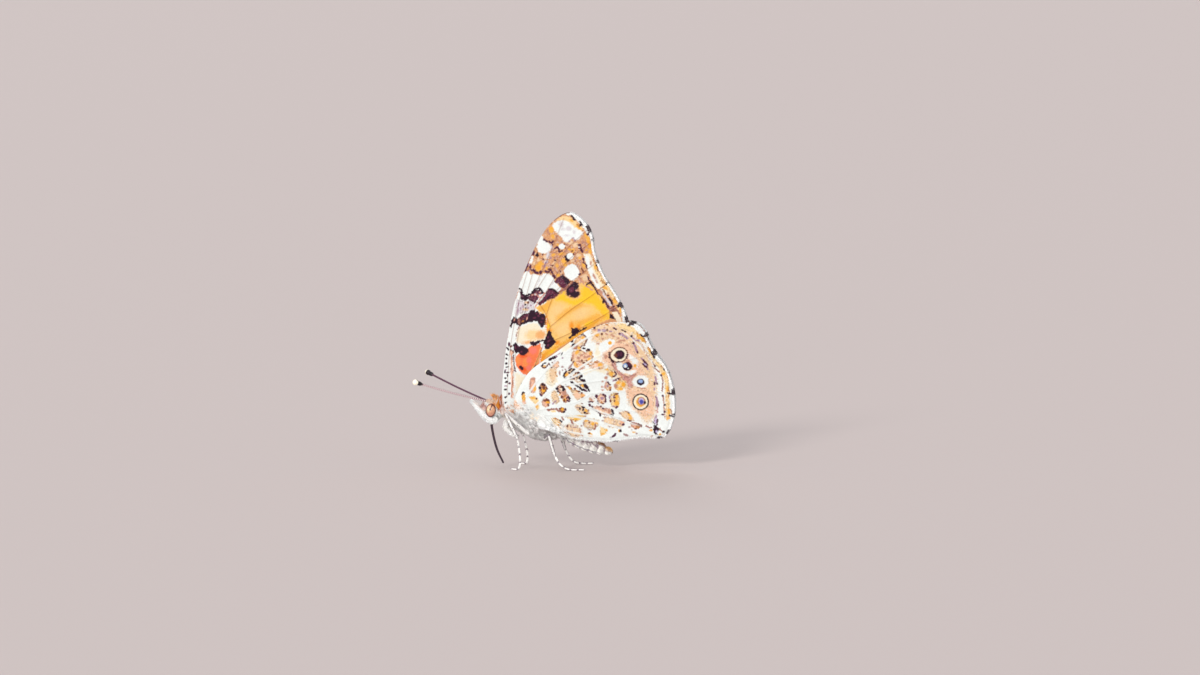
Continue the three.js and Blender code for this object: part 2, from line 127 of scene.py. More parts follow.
def unit(vectors):
    return vectors / (np.linalg.norm(vectors, axis=1)[:, None] + 1e-9)


def lengthsAlong(path):
    return np.concatenate([[0], np.cumsum(np.linalg.norm(np.diff(path, axis=0), axis=1))])


def resample(path, count):
    steps = lengthsAlong(path)
    places = np.linspace(0, steps[-1], count)
    return np.stack([np.interp(places, steps, path[:, k]) for k in range(path.shape[1])], axis=1)


def noise(x, z, size, seed=0.0):
    gx, gz = x / size, z / size
    ix, iz = np.floor(gx), np.floor(gz)
    fx, fz = gx - ix, gz - iz
    fx, fz = fx * fx * (3 - 2 * fx), fz * fz * (3 - 2 * fz)

    def lattice(i, j):
        value = np.sin(i * 127.1 + j * 311.7 + seed * 74.7) * 43758.5453
        return value - np.floor(value)

    near = lattice(ix, iz) * (1 - fx) + lattice(ix + 1, iz) * fx
    far = lattice(ix, iz + 1) * (1 - fx) + lattice(ix + 1, iz + 1) * fx
    return near * (1 - fz) + far * fz


def insidePolygon(x, z, polygon):
    inside = np.zeros(x.shape, bool)
    for (ax, az), (bx, bz) in zip(polygon, polygon[1:] + polygon[:1]):
        if az == bz:
            continue
        crosses = (az > z) != (bz > z)
        inside ^= crosses & (x < ax + (z - az) * (bx - ax) / (bz - az))
    return inside


# Every scale of a wing keeps one value of its own
scaleWidth, scaleLength = 0.11, 0.15


def scaleGrain(x, z, seed):
    row = np.floor(z / scaleLength)
    column = np.floor(x / scaleWidth + 0.5 * (row % 2))
    value = np.sin(row * 12.9898 + column * 78.233 + seed * 37.719) * 43758.5453
    return value - np.floor(value)


# A mark is a patch inside its corners, a streak along a line with its width first,
# or spots with their centres, radii and turns
tenth, nearMargin = 0.1, 0.3
edgeLook = {"wander": 0.1, "wave": 0.25, "fray": 0.04, "softFray": 0.3}
speckLook = {"rim": 3.2, "rimDepth": 0.1, "rimWidth": 0.09, "wave": 0.4}


def markParts(marks):
    for colour, soft, grain, *groups in marks:
        for points in groups:
            if len(points[0]) < 3:
                kind = "streak" if len(points[0]) == 1 else "patch"
                part = [tuple(value * tenth for value in point) for point in points]
                yield colour, soft, grain, kind, part
                continue
            for spot in points:
                cx, cz, wide = [value * tenth for value in spot[:3]]
                tall = spot[3] * tenth if len(spot) > 3 else wide
                turn = spot[4] if len(spot) > 4 else 0
                yield colour, soft, grain, "spot", (cx, cz, wide, tall, turn)


def markCover(x, z, kind, soft, part, fray):
    if kind == "spot":
        cx, cz, wide, tall, turn = part
        dx, dz = x - cx, z - cz
        c, s = math.cos(math.radians(turn)), math.sin(math.radians(turn))
        reach = np.hypot((dx * c + dz * s) / wide, (-dx * s + dz * c) / tall)
        edge = (1 - reach) * min(wide, tall)
    elif kind == "streak":
        edge = part[0][0] / 2 - pathDistance(x, z, part[1:])
    else:
        away = pathDistance(x, z, part + part[:1])
        edge = np.where(insidePolygon(x, z, part), away, -away)
    frayed = edge + fray * (edgeLook["fray"] + soft * edgeLook["softFray"])
    return smooth(-soft / 2, soft / 2, frayed), edge


def nearMark(x, z, kind, soft, part):
    places, reach = part, soft + nearMargin
    if kind == "spot":
        places = [part[:2]]
        reach += max(part[2:4])
    elif kind == "streak":
        places = part[1:]
        reach += part[0][0]
    lowX, highX = min(p[0] for p in places) - reach, max(p[0] for p in places) + reach
    lowZ, highZ = min(p[1] for p in places) - reach, max(p[1] for p in places) + reach
    return np.where((x > lowX) & (x < highX) & (z > lowZ) & (z < highZ))[0]


def paintMarks(x, z, colours, marks):
    wanderX, wanderZ = [(noise(x, z, edgeLook["wave"], seed) - 0.5) * edgeLook["wander"] for seed in (1, 3)]
    fray = (scaleGrain(x, z, 1) - 0.5) * 2
    chance, patchy = scaleGrain(x, z, 3), 0.4 + 1.2 * noise(x, z, speckLook["wave"], 5)
    for colour, soft, grain, kind, part in markParts(marks):
        near = nearMark(x, z, kind, soft, part)
        if not len(near):
            continue
        sway = 0.5 if kind == "spot" else 1.0
        placeX, placeZ = x[near] + wanderX[near] * sway, z[near] + wanderZ[near] * sway
        cover, edge = markCover(placeX, placeZ, kind, soft, part, fray[near] * sway)
        tint = np.tile(paint[colour], (len(near), 1))
        rim = 0
        if kind == "patch":
            rim = np.exp(-(((edge - speckLook["rimDepth"]) / speckLook["rimWidth"]) ** 2)) * speckLook["rim"]
        darker = (chance[near] < grain * (0.4 + rim) * patchy[near])[:, None]
        paler = (1 - chance[near] < grain * 0.5 * patchy[near])[:, None]
        tint = np.where(darker, tint * 0.6 + paint["plum"] * 0.2, tint)
        lift = 0.08 + 0.45 * min(paint[colour][1] * 2, 1)
        tint = np.where(paler, tint * (1 - lift) + paint["chalk"] * lift, tint)
        colours[near] += (tint - colours[near]) * cover[:, None]


def makeMaterial(name, attribute=None, colour=(0.8, 0.8, 0.8), roughness=0.7, specular=0.3):
    material = bpy.data.materials.new(name)
    material.use_nodes = True
    shader = material.node_tree.nodes["Principled BSDF"]
    shader.inputs["Base Color"].default_value = (*linear(colour), 1)
    shader.inputs["Roughness"].default_value = roughness
    shader.inputs["Specular IOR Level"].default_value = specular
    if attribute:
        source = material.node_tree.nodes.new("ShaderNodeAttribute")
        source.attribute_name = attribute
        material.node_tree.links.new(source.outputs["Color"], shader.inputs["Base Color"])
    return material


def addBump(material, kind, size, strength, depth):
    tree = material.node_tree
    place = tree.nodes.new("ShaderNodeTexCoord")
    texture = tree.nodes.new(kind)
    texture.inputs["Scale"].default_value = 1 / (size * mm)
    bump = tree.nodes.new("ShaderNodeBump")
    bump.inputs["Strength"].default_value = strength
    bump.inputs["Distance"].default_value = depth * mm
    tree.links.new(place.outputs["Object"], texture.inputs["Vector"])
    output = "Distance" if kind == "ShaderNodeTexVoronoi" else texture.outputs[0].name
    tree.links.new(texture.outputs[output], bump.inputs["Height"])
    tree.links.new(bump.outputs["Normal"], tree.nodes["Principled BSDF"].inputs["Normal"])


def setColours(mesh, colours):
    layer = mesh.attributes.new("coat", "FLOAT_COLOR", "POINT")
    rgba = np.ones((len(mesh.vertices), 4), np.float32)
    rgba[:, :3] = np.clip(colours, 0, 1)
    layer.data.foreach_set("color", rgba.ravel())


def setPlaces(mesh, places):
    shifted = np.array(places, np.float64)
    shifted[:, 0] += centreShift
    mesh.vertices.foreach_set("co", (shifted * mm).astype(np.float32).ravel())
    mesh.update()


# The unwrap of a primitive becomes the bake map and keeps to its own patch there
def keepBakeMap(mesh, patch):
    layer = mesh.uv_layers[0]
    layer.name = "OFBake"
    uv = np.empty(len(mesh.loops) * 2, np.float32)
    layer.data.foreach_get("uv", uv)
    uv = uv.reshape(-1, 2)
    low, high = np.array(patch[:2]), np.array(patch[2:])
    layer.data.foreach_set("uv", (low + (high - low) * uv).astype(np.float32).ravel())
    return uv


def joinPieces(pieces):
    bpy.ops.object.select_all(action="DESELECT")
    for piece in pieces:
        piece.select_set(True)
    bpy.context.view_layer.objects.active = pieces[0]
    if len(pieces) > 1:
        bpy.ops.object.join()
    return pieces[0]


def getPlaces(mesh):
    places = np.empty(len(mesh.vertices) * 3, np.float32)
    mesh.vertices.foreach_get("co", places)
    return places.reshape(-1, 3).astype(np.float64)


def finishPiece(piece, name, material, nodes):
    piece.name = name
    piece.data.name = name
    piece.data.materials.clear()
    piece.data.materials.append(material)
    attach(piece, "root")
    if nodes:
        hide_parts(*nodes)


# Camera and light
photo = {
    "turn": 5.0, "rise": 5.0, "aim": (7.577 + centreShift, 0, 19.02), "away": 967,
    "lens": 200, "sensor": 36, "clip": (0.01, 10),
}
turn, rise = math.radians(photo["turn"]), math.radians(photo["rise"])
back = Vector((math.sin(turn) * math.cos(rise), -math.cos(turn) * math.cos(rise), math.sin(rise)))
aim = Vector(photo["aim"]) * mm
bpy.ops.object.camera_add(location=aim + back * photo["away"] * mm)
camera = bpy.context.object
camera.rotation_euler = back.to_track_quat("Z", "Y").to_euler()
camera.data.lens = photo["lens"]
camera.data.sensor_width = photo["sensor"]
camera.data.clip_start, camera.data.clip_end = photo["clip"]
bpy.context.scene.camera = camera
bpy.context.scene.view_settings.view_transform = "Standard"

studio = {"colour": (0.95, 0.97, 1.0, 1), "strength": 0.68, "lampsAway": 0.4}
world = bpy.data.worlds.new("studio")
bpy.context.scene.world = world
world.use_nodes = True
world.node_tree.nodes["Background"].inputs["Color"].default_value = studio["colour"]
world.node_tree.nodes["Background"].inputs["Strength"].default_value = studio["strength"]

lamps = {
    "key": {"from": (-0.38, -0.82, 0.42), "spread": 14, "power": 1.4, "colour": (1.0, 0.97, 0.92)},
    "fill": {"from": (0.06, -0.99, 0.1), "spread": 25, "power": 1.8, "colour": (0.96, 0.98, 1.0)},
    "rim": {"from": (-0.2, 0.8, 0.5), "spread": 30, "power": 0.7, "colour": (1.0, 0.98, 0.96)},
}
for name, lamp in lamps.items():
    bpy.ops.object.light_add(type="SUN", location=Vector(lamp["from"]) * studio["lampsAway"])
    light = bpy.context.object
    light.name = name
    light.data.angle = math.radians(lamp["spread"])
    light.data.energy = lamp["power"]
    light.data.color = lamp["colour"]
    light.rotation_euler = Vector(lamp["from"]).to_track_quat("Z", "Y").to_euler()

ground = {"size": 4, "colour": (0.8, 0.75, 0.74), "roughness": 0.9, "specular": 0.1}
bpy.ops.mesh.primitive_plane_add(size=ground["size"])
floor = bpy.context.object
floor.name = "floor"
groundLook = makeMaterial("paleFloor", None, ground["colour"], ground["roughness"], ground["specular"])
floor.data.materials.append(groundLook)
print("camera, lights and floor")

# Wings
foreWing = {
    "outline": [
        (-6.4, 9.7), (-6.6, 11.6), (-6.1, 17.5), (-4.6, 25.1), (-3.2, 29.2), (-0.9, 33.9),
        (1.0, 36.2), (3.2, 37.3), (5.4, 36.0), (6.6, 33.9), (6.9, 31.7), (8.2, 28.4),
        (10.4, 24.8), (11.6, 22.0), (11.8, 20.4), (9.2, 18.1), (5.6, 15.5), (2.0, 12.9),
        (-0.9, 10.7), (-4.1, 7.5), (-5.7, 8.0),
    ],
    "corners": (20, 7, 14, 19),
    "veins": {
        "subcosta": [(-5.8, 10.4), (-5.6, 15.9), (-4.4, 23.2), (-2.8, 29.0)],
        "radius": [(-5.2, 10.4), (-4.8, 15.7), (-3.5, 23.3), (-1.4, 31.0)],
        "sector": [(-4.3, 19.6), (-2.4, 25.1), (0.5, 31.6), (2.4, 36.4)],
        "mediaOne": [(-2.4, 24.6), (0.2, 28.7), (2.7, 31.8), (6.0, 34.9)],
        "mediaTwo": [(-1.2, 23.9), (0.4, 26.7), (2.7, 30.0), (6.9, 33.3)],
        "mediaThree": [(-0.2, 22.3), (1.4, 26.0), (3.7, 27.4), (7.5, 30.3)],
        "cubitusOne": [(0.4, 20.6), (3.4, 23.1), (6.3, 25.1), (9.1, 27.3)],
        "cubitusTwo": [(-0.8, 18.0), (2.0, 19.1), (6.6, 21.4), (10.8, 23.9)],
        "anal": [(-3.6, 10.4), (-0.5, 14.1), (5.6, 18.6), (11.3, 21.5)],
        "cellEnd": [(-2.4, 24.6), (-1.2, 23.9), (-0.2, 22.3), (0.4, 20.6)],
        "cubitus": [(-4.4, 11.1), (-2.2, 14.2), (-1.1, 16.8), (0.4, 20.6)],
    },
    "cells": (310, 232),
    "veinLook": (0.0, 0.5),
    "fringeDark": 0.72,
}
hindWing = {
    "outline": [
        (-4.7, 9.0), (-4.6, 10.4), (-2.8, 13.9), (1.4, 17.1), (6.0, 20.3), (8.9, 21.4),
        (11.7, 21.5), (13.6, 20.9), (15.5, 17.5), (17.5, 14.6), (18.5, 11.2), (18.5, 7.5),
        (17.2, 4.8), (13.6, 4.6), (8.6, 4.1), (3.7, 4.6), (0.2, 5.8), (-1.2, 6.1),
    ],
    "corners": (0, 6, 12, 17),
    "veins": {
        "subcosta": [(-2.9, 10.6), (-0.2, 14.2), (6.3, 19.4), (12.3, 21.2)],
        "sector": [(-1.6, 9.3), (2.0, 12.6), (7.0, 16.2), (14.4, 19.5)],
        "mediaOne": [(2.0, 12.6), (6.3, 14.4), (11.0, 15.8), (15.5, 16.9)],
        "mediaTwo": [(2.7, 12.2), (7.8, 12.9), (12.7, 13.8), (17.8, 14.1)],
        "mediaThree": [(6.3, 11.0), (9.2, 11.3), (13.6, 11.4), (18.1, 11.2)],
        "cubitusOne": [(6.3, 10.6), (7.8, 9.4), (13.6, 8.3), (18.5, 7.8)],
        "cubitusTwo": [(4.1, 9.7), (9.4, 7.7), (12.8, 6.5), (17.1, 5.7)],
        "cubitus": [(-0.9, 8.7), (2.0, 9.4), (4.1, 9.7), (6.3, 10.9)],
        "analOne": [(-0.4, 8.0), (4.1, 7.7), (11.4, 5.8), (16.3, 4.7)],
        "analTwo": [(1.2, 6.2), (4.1, 5.4), (9.9, 4.5)],
    },
    "cells": (290, 225),
    "veinLook": (0.8, 0.0),
    "fringeDark": 0.5,
}

# Marks on the undersides in the order of painting, each with its colour, softness in millimetres,
# grain, and its places in tenths of a millimetre
foreMarks = [
    ("chalk", 0.14, 0, [(-73,55), (-67,203), (-50,252), (-38,276), (-2,261), (2,171), (-18,142),
     (-38,109), (20,101), (20,55)]),
    ("cream", 0.43, 0, [(-47,139), (-35,133), (-18,136), (-2,142), (14,128), (2,113), (-24,113),
     (-44,104)]),
    ("tan", 0.17, 0.3, [(-24,310), (-8,345), (8,364), (28,377), (55,360), (73,325), (86,287), (55,261),
     (28,258), (17,270), (8,281), (-9,286), (-30,287)]),
    ("rosyTan", 0.19, 0.3, [(2,344,2.9,3.6,-30), (14,337,2.3,1.9), (20,338,2), (14,332,1.4,2.6),
     (21,329,2.9,1.2,30), (29,325,2.3,2), (27,316,3.8,2,30), (36,322,2.9,1.2,45), (10,313,3.8,2.3),
     (14,308,3.5,1.7,35), (7,318,1.7,2.9), (17,301,1.7,2.9,-30), (20,293,3.5,2), (4,296,2.9,1.4,20),
     (11,290,2.3,3.5), (0,300,2,3.2,-30), (15,286,1.7,2.3), (40,312,1.7,2), (43,307,3.5,1,-35),
     (53,320,2,4.3), (51,329,2.3,3.2,-30), (56,327,2,3.5,20), (58,316,2.6,1.7,40), (49,299,2,3.8,15),
     (52,286,1.9,3.2,30), (41,302,2.3,1.4,30)]),
    ("amber", 0.22, 0, [(8,337,2.6,3.5), (15,325,1.7,1.4), (9,311,3.2,1.7,20), (20,312,4.3,1.7,25),
     (24,302,3.8), (16,281,2.3,2.6), (32,319,2.3,1.4), (37,317,2.6,3.2), (56,339,2,3.5,20),
     (59,334,2.9,4.3,10), (62,315,2.3,4.3), (26,296,2.6,2), (14,295,2,2.9), (-1,291,2.3,2),
     (53,295,2.3,4.3,30), (47,307,2.3,2.9)]),
    ("sand", 0.23, 0, [(41,325,4.3,3.5), (33,329,4.3,2.3), (45,310,3.5,2.3), (10,299,3.8,1.7,45),
     (36,302,2.3,1.4), (55,278,4.3,4.9), (-14,303,3.2,2.3), (-19,298,2.6,2.3), (-3,307,2.9)]),
    ("orange", 0.19, 0, [(62,324,2.9,3.8), (60,329,2.3,1.7,-30), (57,318,2,1.4)]),
    ("chalk", 0.2, 0, [(8,354), (14,360), (21,362), (30,362), (37,357), (44,352), (53,343), (49,338),
     (46,332), (40,333), (34,333), (30,329), (24,330), (20,337), (12,344), (8,349)]),
    ("pearl", 0.29, 0, [(20,355,3.5,4.1), (23,348,2.9,1.7), (31,349,3.8), (39,344,2.3),
     (28,339,3.5,1.4)]),
    ("honey", 0.17, 0, [(14,362), (20,366), (28,367), (36,364), (44,357), (52,348), (49,347), (41,350),
     (34,357), (24,362), (15,360)]),
    ("amber", 0.14, 0, [(35,361,3.2,1.6,-30), (44,353,2.6,2.3), (47,349,2.9,1.6,-30)]),
    ("mauve", 0.1, 0, [(37,335,2.2,1.2,20), (40,332,1.2,1.9,30), (32,330,1.6,1.4,30)]),
    ("amber", 0.17, 0, [(6,347,3.6,4.6,-15)]),
    ("orange", 0.14, 0, [(6,349,2.3,1.7)]),
    ("chalk", 0.12, 0, [(27,375), (34,374), (44,368), (57,355), (65,344), (70,329), (75,313), (78,302),
     (88,284), (104,260), (114,235), (121,209), (110,209), (108,226), (104,241), (94,257), (82,276),
     (72,296), (68,313), (65,328), (60,339), (53,349), (44,359), (36,367), (27,369)]),
    ("plum", 0.07, 0, [(1.9,), (26,373), (17,367), (8,361), (-1,353), (-7,344)]),
    ("rosyBrown", 0.07, 0, [(1.8,), (-7,344), (-19,325), (-23,310), (-29,299)]),
    ("rosyTan", 0.07, 0, [(1.2,), (-32,289), (-37,277), (-40,264), (-47,246), (-53,228), (-56,206),
     (-59,188)]),
    ("plum", 0.09, 0, [(-20,313,1.9,3.8,-15), (-30,294,2,4.9,-25), (-32,287,1.4,2.9,-25),
     (-25,293,1.6,4.1,-10), (-23,288,1.3,1.9)]),
    ("mauve", 0.09, 0, [(-27,296,1.4,2,-20), (-27,287,1.3,2,-20)]),
    ("chalk", 0.14, 0, [(3.8,), (-22,307), (-24,299)]),
    ("dark", 0.07, 0, [(-15,315), (-13,312), (-12,310), (-14,307), (-18,308), (-17,312)]),
    ("chalk", 0.12, 0, [(-9,339), (-4,332), (2,327), (6,322), (4,316), (1,314), (-6,312), (-13,315),
     (-16,323), (-13,332)]),
    ("pearl", 0.23, 0, [(1,310,2.9,5.2,-15), (-2,300,2.3,2.9,-25), (6,323,1.7,4.3)]),
    ("mauve", 0.13, 0, [(-2,299,1.4,2.2,-20), (5,306,1.3,1.7), (-4,294,1.3,2.3,10)]),
    ("amber", 0.17, 0, [(-19,293), (-14,299), (-9,302), (-6,297), (-9,291), (-11,286), (-16,286)]),
    ("orange", 0.14, 0, [(-13,292,2.6)]),
    ("plum", 0.09, 0, [(3.1,), (3,330), (5,328), (8,330)]),
    ("plum", 0.07, 0, [(2.1,), (6,328), (7,325)]),
    ("plum", 0.09, 0, [(2.6,), (-5,333), (0,330)]),
    ("plum", 0.12, 0, [(-6,304,1.8,1.1,-20), (11,303,1.6,1.3,-20), (7,295,2.3,1), (1,290,1.1,1.6),
     (19,286,1,1.6), (-7,311,1.3)]),
    ("plum", 0.07, 0, [(2.6,), (11,320), (14,322), (16,319), (18,315), (21,317)]),
    ("chalk", 0.07, 0, [(21,323,4.6,4.1)]),
    ("dark", 0.07, 0, [(24,308), (26,310), (29,313), (30,308), (33,304), (33,302), (30,300), (26,304)]),
    ("chalk", 0.07, 0, [(33,309,5.2,4.8)]),
    ("plum", 0.09, 0, [(2.8,), (45,325), (48,325), (49,319), (51,315)]),
    ("plum", 0.07, 0, [(47,320,1.9,1.1)]),
    ("pearl", 0.07, 0, [(46,322,1.2,1)]),
    ("brown", 0.1, 0, [(38,312,1.3,1.5), (36,316,1.5,1.1,30), (25,326,1.3,1.1), (26,321,1.3,1)]),
    ("chalk", 0.1, 0, [(27,293), (31,296), (36,298), (41,296), (45,291), (47,285), (44,278), (39,273),
     (33,274), (29,277), (25,282), (24,288)]),
    ("mauveTan", 0.1, 0, [(1.4,), (43,297), (46,291), (47,284)]),
    ("plum", 0.07, 0, [(47,283,1.9,1.5,30)]),
    ("chalk", 0.09, 0, [(-34,284), (-30,287), (-24,282), (-19,283), (-15,281), (-9,280), (-6,283),
     (-2,284), (2,283), (7,280), (9,277), (11,274), (11,271), (14,269), (17,265), (20,262), (18,258),
     (15,256), (11,260), (7,261), (4,262), (2,262), (-2,256), (-5,257), (-9,259), (-11,262), (-15,263),
     (-19,261), (-22,256), (-28,254), (-32,251), (-36,257), (-39,262), (-42,262), (-38,274)]),
    ("pearl", 0.14, 0, [(1.3,), (-8,281), (-12,273), (-17,264)], [(1.3,), (9,270), (4,265)]),
    ("plum", 0.1, 0, [(3.9,), (-20,288), (-18,285), (-14,284)], [(2.4,), (-3,287), (0,285)]),
    ("plum", 0.09, 0, [(2.9,), (4,290), (5,289), (2,286)], [(2.4,), (6,286), (8,283)], [(3.6,), (9,281),
     (11,278)]),
    ("plum", 0.12, 0, [(-10,285,2.3,2.6)]),
    ("purple", 0.12, 0.25, [(10,272), (15,278), (20,281), (23,283), (25,280), (28,278), (33,273), (37,272),
     (33,271), (29,266), (25,261), (20,263), (17,267), (15,269), (12,269)]),
    ("dark", 0.17, 0.1, [(21,282), (25,280), (28,277), (33,273), (31,269), (28,268), (24,273), (20,278)]),
    ("rosyBrown", 0.14, 0.2, [(4.2,), (37,270), (31,265), (24,260), (18,256)]),
    ("dark", 0.1, 0.1, [(35,268), (40,272), (44,270), (46,265), (43,261), (41,259), (44,258), (47,257),
     (48,254), (44,249), (39,248), (33,249), (28,251), (27,258), (28,262)]),
    ("purple", 0.17, 0.2, [(35,260,3.5,4.3,-30)]),
    ("rosy", 0.09, 0, [(42,259,1.6,1.3), (32,251,1.4,1,45)]),
    ("purple", 0.12, 0.3, [(-41,260), (-37,254), (-32,249), (-24,253), (-19,259), (-11,260), (-7,254),
     (-12,252), (-13,247), (-17,242), (-22,241), (-27,245), (-34,244), (-39,246), (-40,253)]),
    ("dark", 0.07, 0, [(3.1,), (-41,261), (-38,260), (-37,254), (-33,250), (-28,252), (-23,254), (-20,258),
     (-17,261), (-12,262), (-9,259), (-6,255)]),
    ("dark", 0.1, 0, [(-37,247,3.2,1.6), (-31,248,3.8,2.2,10), (-32,245,2.3,1.5)]),
    ("plum", 0.1, 0, [(-15,248,1.6,2.6,-30), (-19,241,2.6,1.6,30), (-23,244,1.9)]),
    ("rosy", 0.1, 0, [(-17,253,2.3,1.7), (-22,252,2.2,1.2,15), (-11,256,1.6,1.2), (-13,250,2.6,1.3,-40)]),
    ("pearl", 0.07, 0, [(-18,253,1.4,1.3)]),
    ("purple", 0.12, 0.25, [(-2,256), (1,262), (5,262), (11,259), (16,254), (14,250), (10,247), (5,247),
     (-1,244), (-6,240), (-11,236), (-15,240), (-9,245), (-4,251)]),
    ("dark", 0.1, 0, [(2.9,), (4,261), (8,260), (12,258), (16,254)], [(2.3,), (7,253), (1,248), (-3,244)]),
    ("rosy", 0.1, 0, [(2,), (-4,255), (-9,249), (-14,242), (-17,236), (-19,231)]),
    ("pearl", 0.14, 0.15, [(-45,246), (-39,244), (-32,243), (-27,244), (-21,241), (-18,236), (-19,231),
     (-25,227), (-32,226), (-40,225), (-45,220), (-48,225), (-46,238)]),
    ("sand", 0.17, 0, [(-30,241,3.2,2), (-32,231,4.3,2)]),
    ("mauve", 0.13, 0, [(-42,238,1,4.3,-8), (-43,228,1,4.3,-8), (-39,232,0.9,2.9), (-24,237,1.7,1.4,-30),
     (-36,236,1.2,2.3), (-28,233,1.4)]),
    ("brown", 0.09, 0, [(-28,241,1.6)]),
    ("dark", 0.09, 0, [(-32,238,1.3,1.6), (-32,233,1.1,1.6)], [(-55,205), (-53,214), (-49,221), (-46,219),
     (-44,218), (-43,216), (-40,220), (-38,223), (-32,225), (-27,226), (-24,230), (-20,231), (-17,228),
     (-14,229), (-11,226), (-7,226), (-4,224), (-1,221), (-2,216), (-2,212), (-5,208), (-7,204), (-9,205),
     (-13,210), (-14,213), (-19,214), (-25,212), (-29,212), (-33,210), (-38,208), (-41,207), (-44,208),
     (-47,211), (-50,209), (-53,204)]),
    ("purple", 0.14, 0.3, [(-40,218), (-34,223), (-27,225), (-28,220), (-35,216), (-40,212)]),
    ("rosyBrown", 0.12, 0.2, [(-43,218), (-38,216), (-38,211), (-41,208), (-43,212)]),
    ("ochre", 0.09, 0, [(-36,214,2,1.3,15)]),
    ("rosy", 0.09, 0, [(-30,218,1,2.3,-20), (-11,225,1,0.9), (-48,216,0.9,2,-15)]),
    ("purple", 0.09, 0, [(-13,222,1.8,1.5), (-16,225,1.5,1.3), (-7,218,1.5,1.3), (-19,219,2.6,1.3,20),
     (-9,213,1.6,1.1)]),
    ("dark", 0.07, 0, [(2.1,), (-4,209), (-2,213)]),
    ("cream", 0.23, 0, [(-43,204), (-32,208), (-24,211), (-14,210), (-9,202), (-3,204), (-1,197), (-4,188),
     (-12,185), (-24,184), (-38,181), (-45,184), (-46,196)]),
    ("honey", 0.58, 0, [(-21,194,11.6,7.2,10)]),
    ("peachOrange", 0.49, 0, [(-10,194,7.2,6.4,20), (-28,183,7.2,2.3,10)]),
    ("mauveTan", 0.12, 0, [(1.3,), (-42,206), (-44,199), (-46,188)]),
    ("fieldPale", 0.12, 0, [(-18,234), (-8,238), (-1,242), (5,246), (12,248), (18,252), (24,257), (27,252),
     (31,249), (39,247), (45,249), (49,254), (46,260), (46,267), (50,270), (57,270), (63,267), (70,258),
     (78,248), (84,239), (89,229), (91,218), (78,212), (63,204), (46,193), (31,184), (15,174), (2,164),
     (-9,154), (-10,168), (-4,173), (-3,183), (-2,194), (-1,204), (-1,219), (-4,225), (-11,227),
     (-14,230)]),
    ("yellow", 0.58, 0, [(12,245), (18,252), (24,257), (28,249), (39,246), (48,249), (49,258), (53,267),
     (60,268), (69,258), (79,245), (88,231), (91,219), (82,217), (75,229), (66,238), (53,241), (40,236),
     (28,241), (20,243)]),
    ("amber", 0.43, 0, [(-14,233), (-1,241), (8,244), (4,235), (0,226), (-5,228), (-11,228)], [(-1,206),
     (2,215), (10,223), (21,231), (37,235), (49,241), (63,235), (52,235), (37,228), (23,220), (10,212),
     (4,203)]),
    ("amber", 0.58, 0, [(8,200), (20,209), (34,216), (55,219), (75,226), (86,222), (72,215), (55,209),
     (37,203), (20,193), (11,190)]),
    ("fieldPeach", 1.01, 0, [(15,231,10.1,7.2,30), (23,203,14.5,8.7,33), (49,225,15.9,7.2,28),
     (7,218,5.1,11.6)]),
    ("orange", 0.35, 0, [(-11,152), (-8,165), (-2,171), (8,175), (20,182), (31,188), (43,197), (55,206),
     (69,215), (82,219), (66,207), (46,194), (31,185), (15,175), (2,165), (-6,157)]),
    ("deep", 0.43, 0, [(35,207,3.2,6.1), (3,201,3.5,2.3), (-1,213,1.3,7.2), (-7,162,2.3,5.8,-30),
     (14,183,3.5), (45,205,3.2,4.3,-30)]),
    ("yellow", 0.26, 0, [(2,207,2.3,2.9), (7,170,5.2,2,30), (60,211,7.2,2.3,28)]),
    ("rosy", 0.14, 0, [(1.9,), (46,276), (55,267), (65,260)]),
    ("red", 0.14, 0, [(-47,158), (-44,165), (-40,168), (-30,174), (-24,178), (-17,179), (-11,182), (-8,174),
     (-9,165), (-11,158), (-17,149), (-21,143), (-25,138), (-30,135), (-35,137), (-41,142), (-46,149)]),
    ("redOrange", 0.35, 0, [(-43,157,3.5,6.4), (-32,154,4.3,7.2), (-15,152,2.6,7.2,-25),
     (-28,141,4.3,2.3,-20)]),
    ("redDeep", 0.29, 0, [(-36,144,6.1,3.5,-25), (-35,163,5.8,2.3)]),
    ("redPink", 0.35, 0, [(-21,171,5.2), (-27,157,3.5,4.9), (-27,146,3.8)]),
    ("peachOrange", 0.17, 0, [(3.2,), (-10,173), (-12,162), (-17,152), (-22,144)]),
    ("ochre", 0.09, 0, [(1.3,), (-9,171), (-10,162)]),
    ("brown", 0.09, 0, [(1.6,), (-17,150), (-21,143), (-23,138)]),
    ("dark", 0.09, 0, [(-50,180), (-47,183), (-44,180), (-40,178), (-36,179), (-32,176), (-28,173),
     (-28,169), (-31,166), (-35,164), (-40,165), (-43,168), (-46,167), (-49,172)]),
    ("purple", 0.09, 0, [(-46,175,1.2,2.6,15), (-42,177,1.9,1), (-38,169,1.6,1.1)]),
    ("dark", 0.09, 0, [(-26,183), (-23,185), (-18,184), (-14,186), (-11,186), (-11,183), (-14,181),
     (-17,178), (-20,177), (-24,180)]),
    ("dark", 0.07, 0, [(1.9,), (-11,184), (-8,186), (-4,186)]),
    ("dark", 0.09, 0, [(1,199), (3,201), (5,198), (7,193), (10,188), (13,184), (10,181), (7,177), (2,174),
     (-2,173), (-4,175), (-4,180), (-6,183), (-4,187), (-2,191), (-1,195)]),
    ("purple", 0.1, 0, [(1,191,1.3,1.6), (2,185,2.6,1.5,40), (1,179,1.9,1.5,50)]),
    ("dark", 0.1, 0, [(35,205), (39,204), (43,205), (45,202), (48,201), (43,196), (39,194), (34,191),
     (35,197)]),
    ("dark", 0.09, 0, [(2.3,), (32,190), (40,195), (49,201), (56,205)]),
    ("dark", 0.1, 0, [(-38,146,3.8,2.3,-45)]),
    ("plum", 0.09, 0, [(-56,180,1.7,3.2)]),
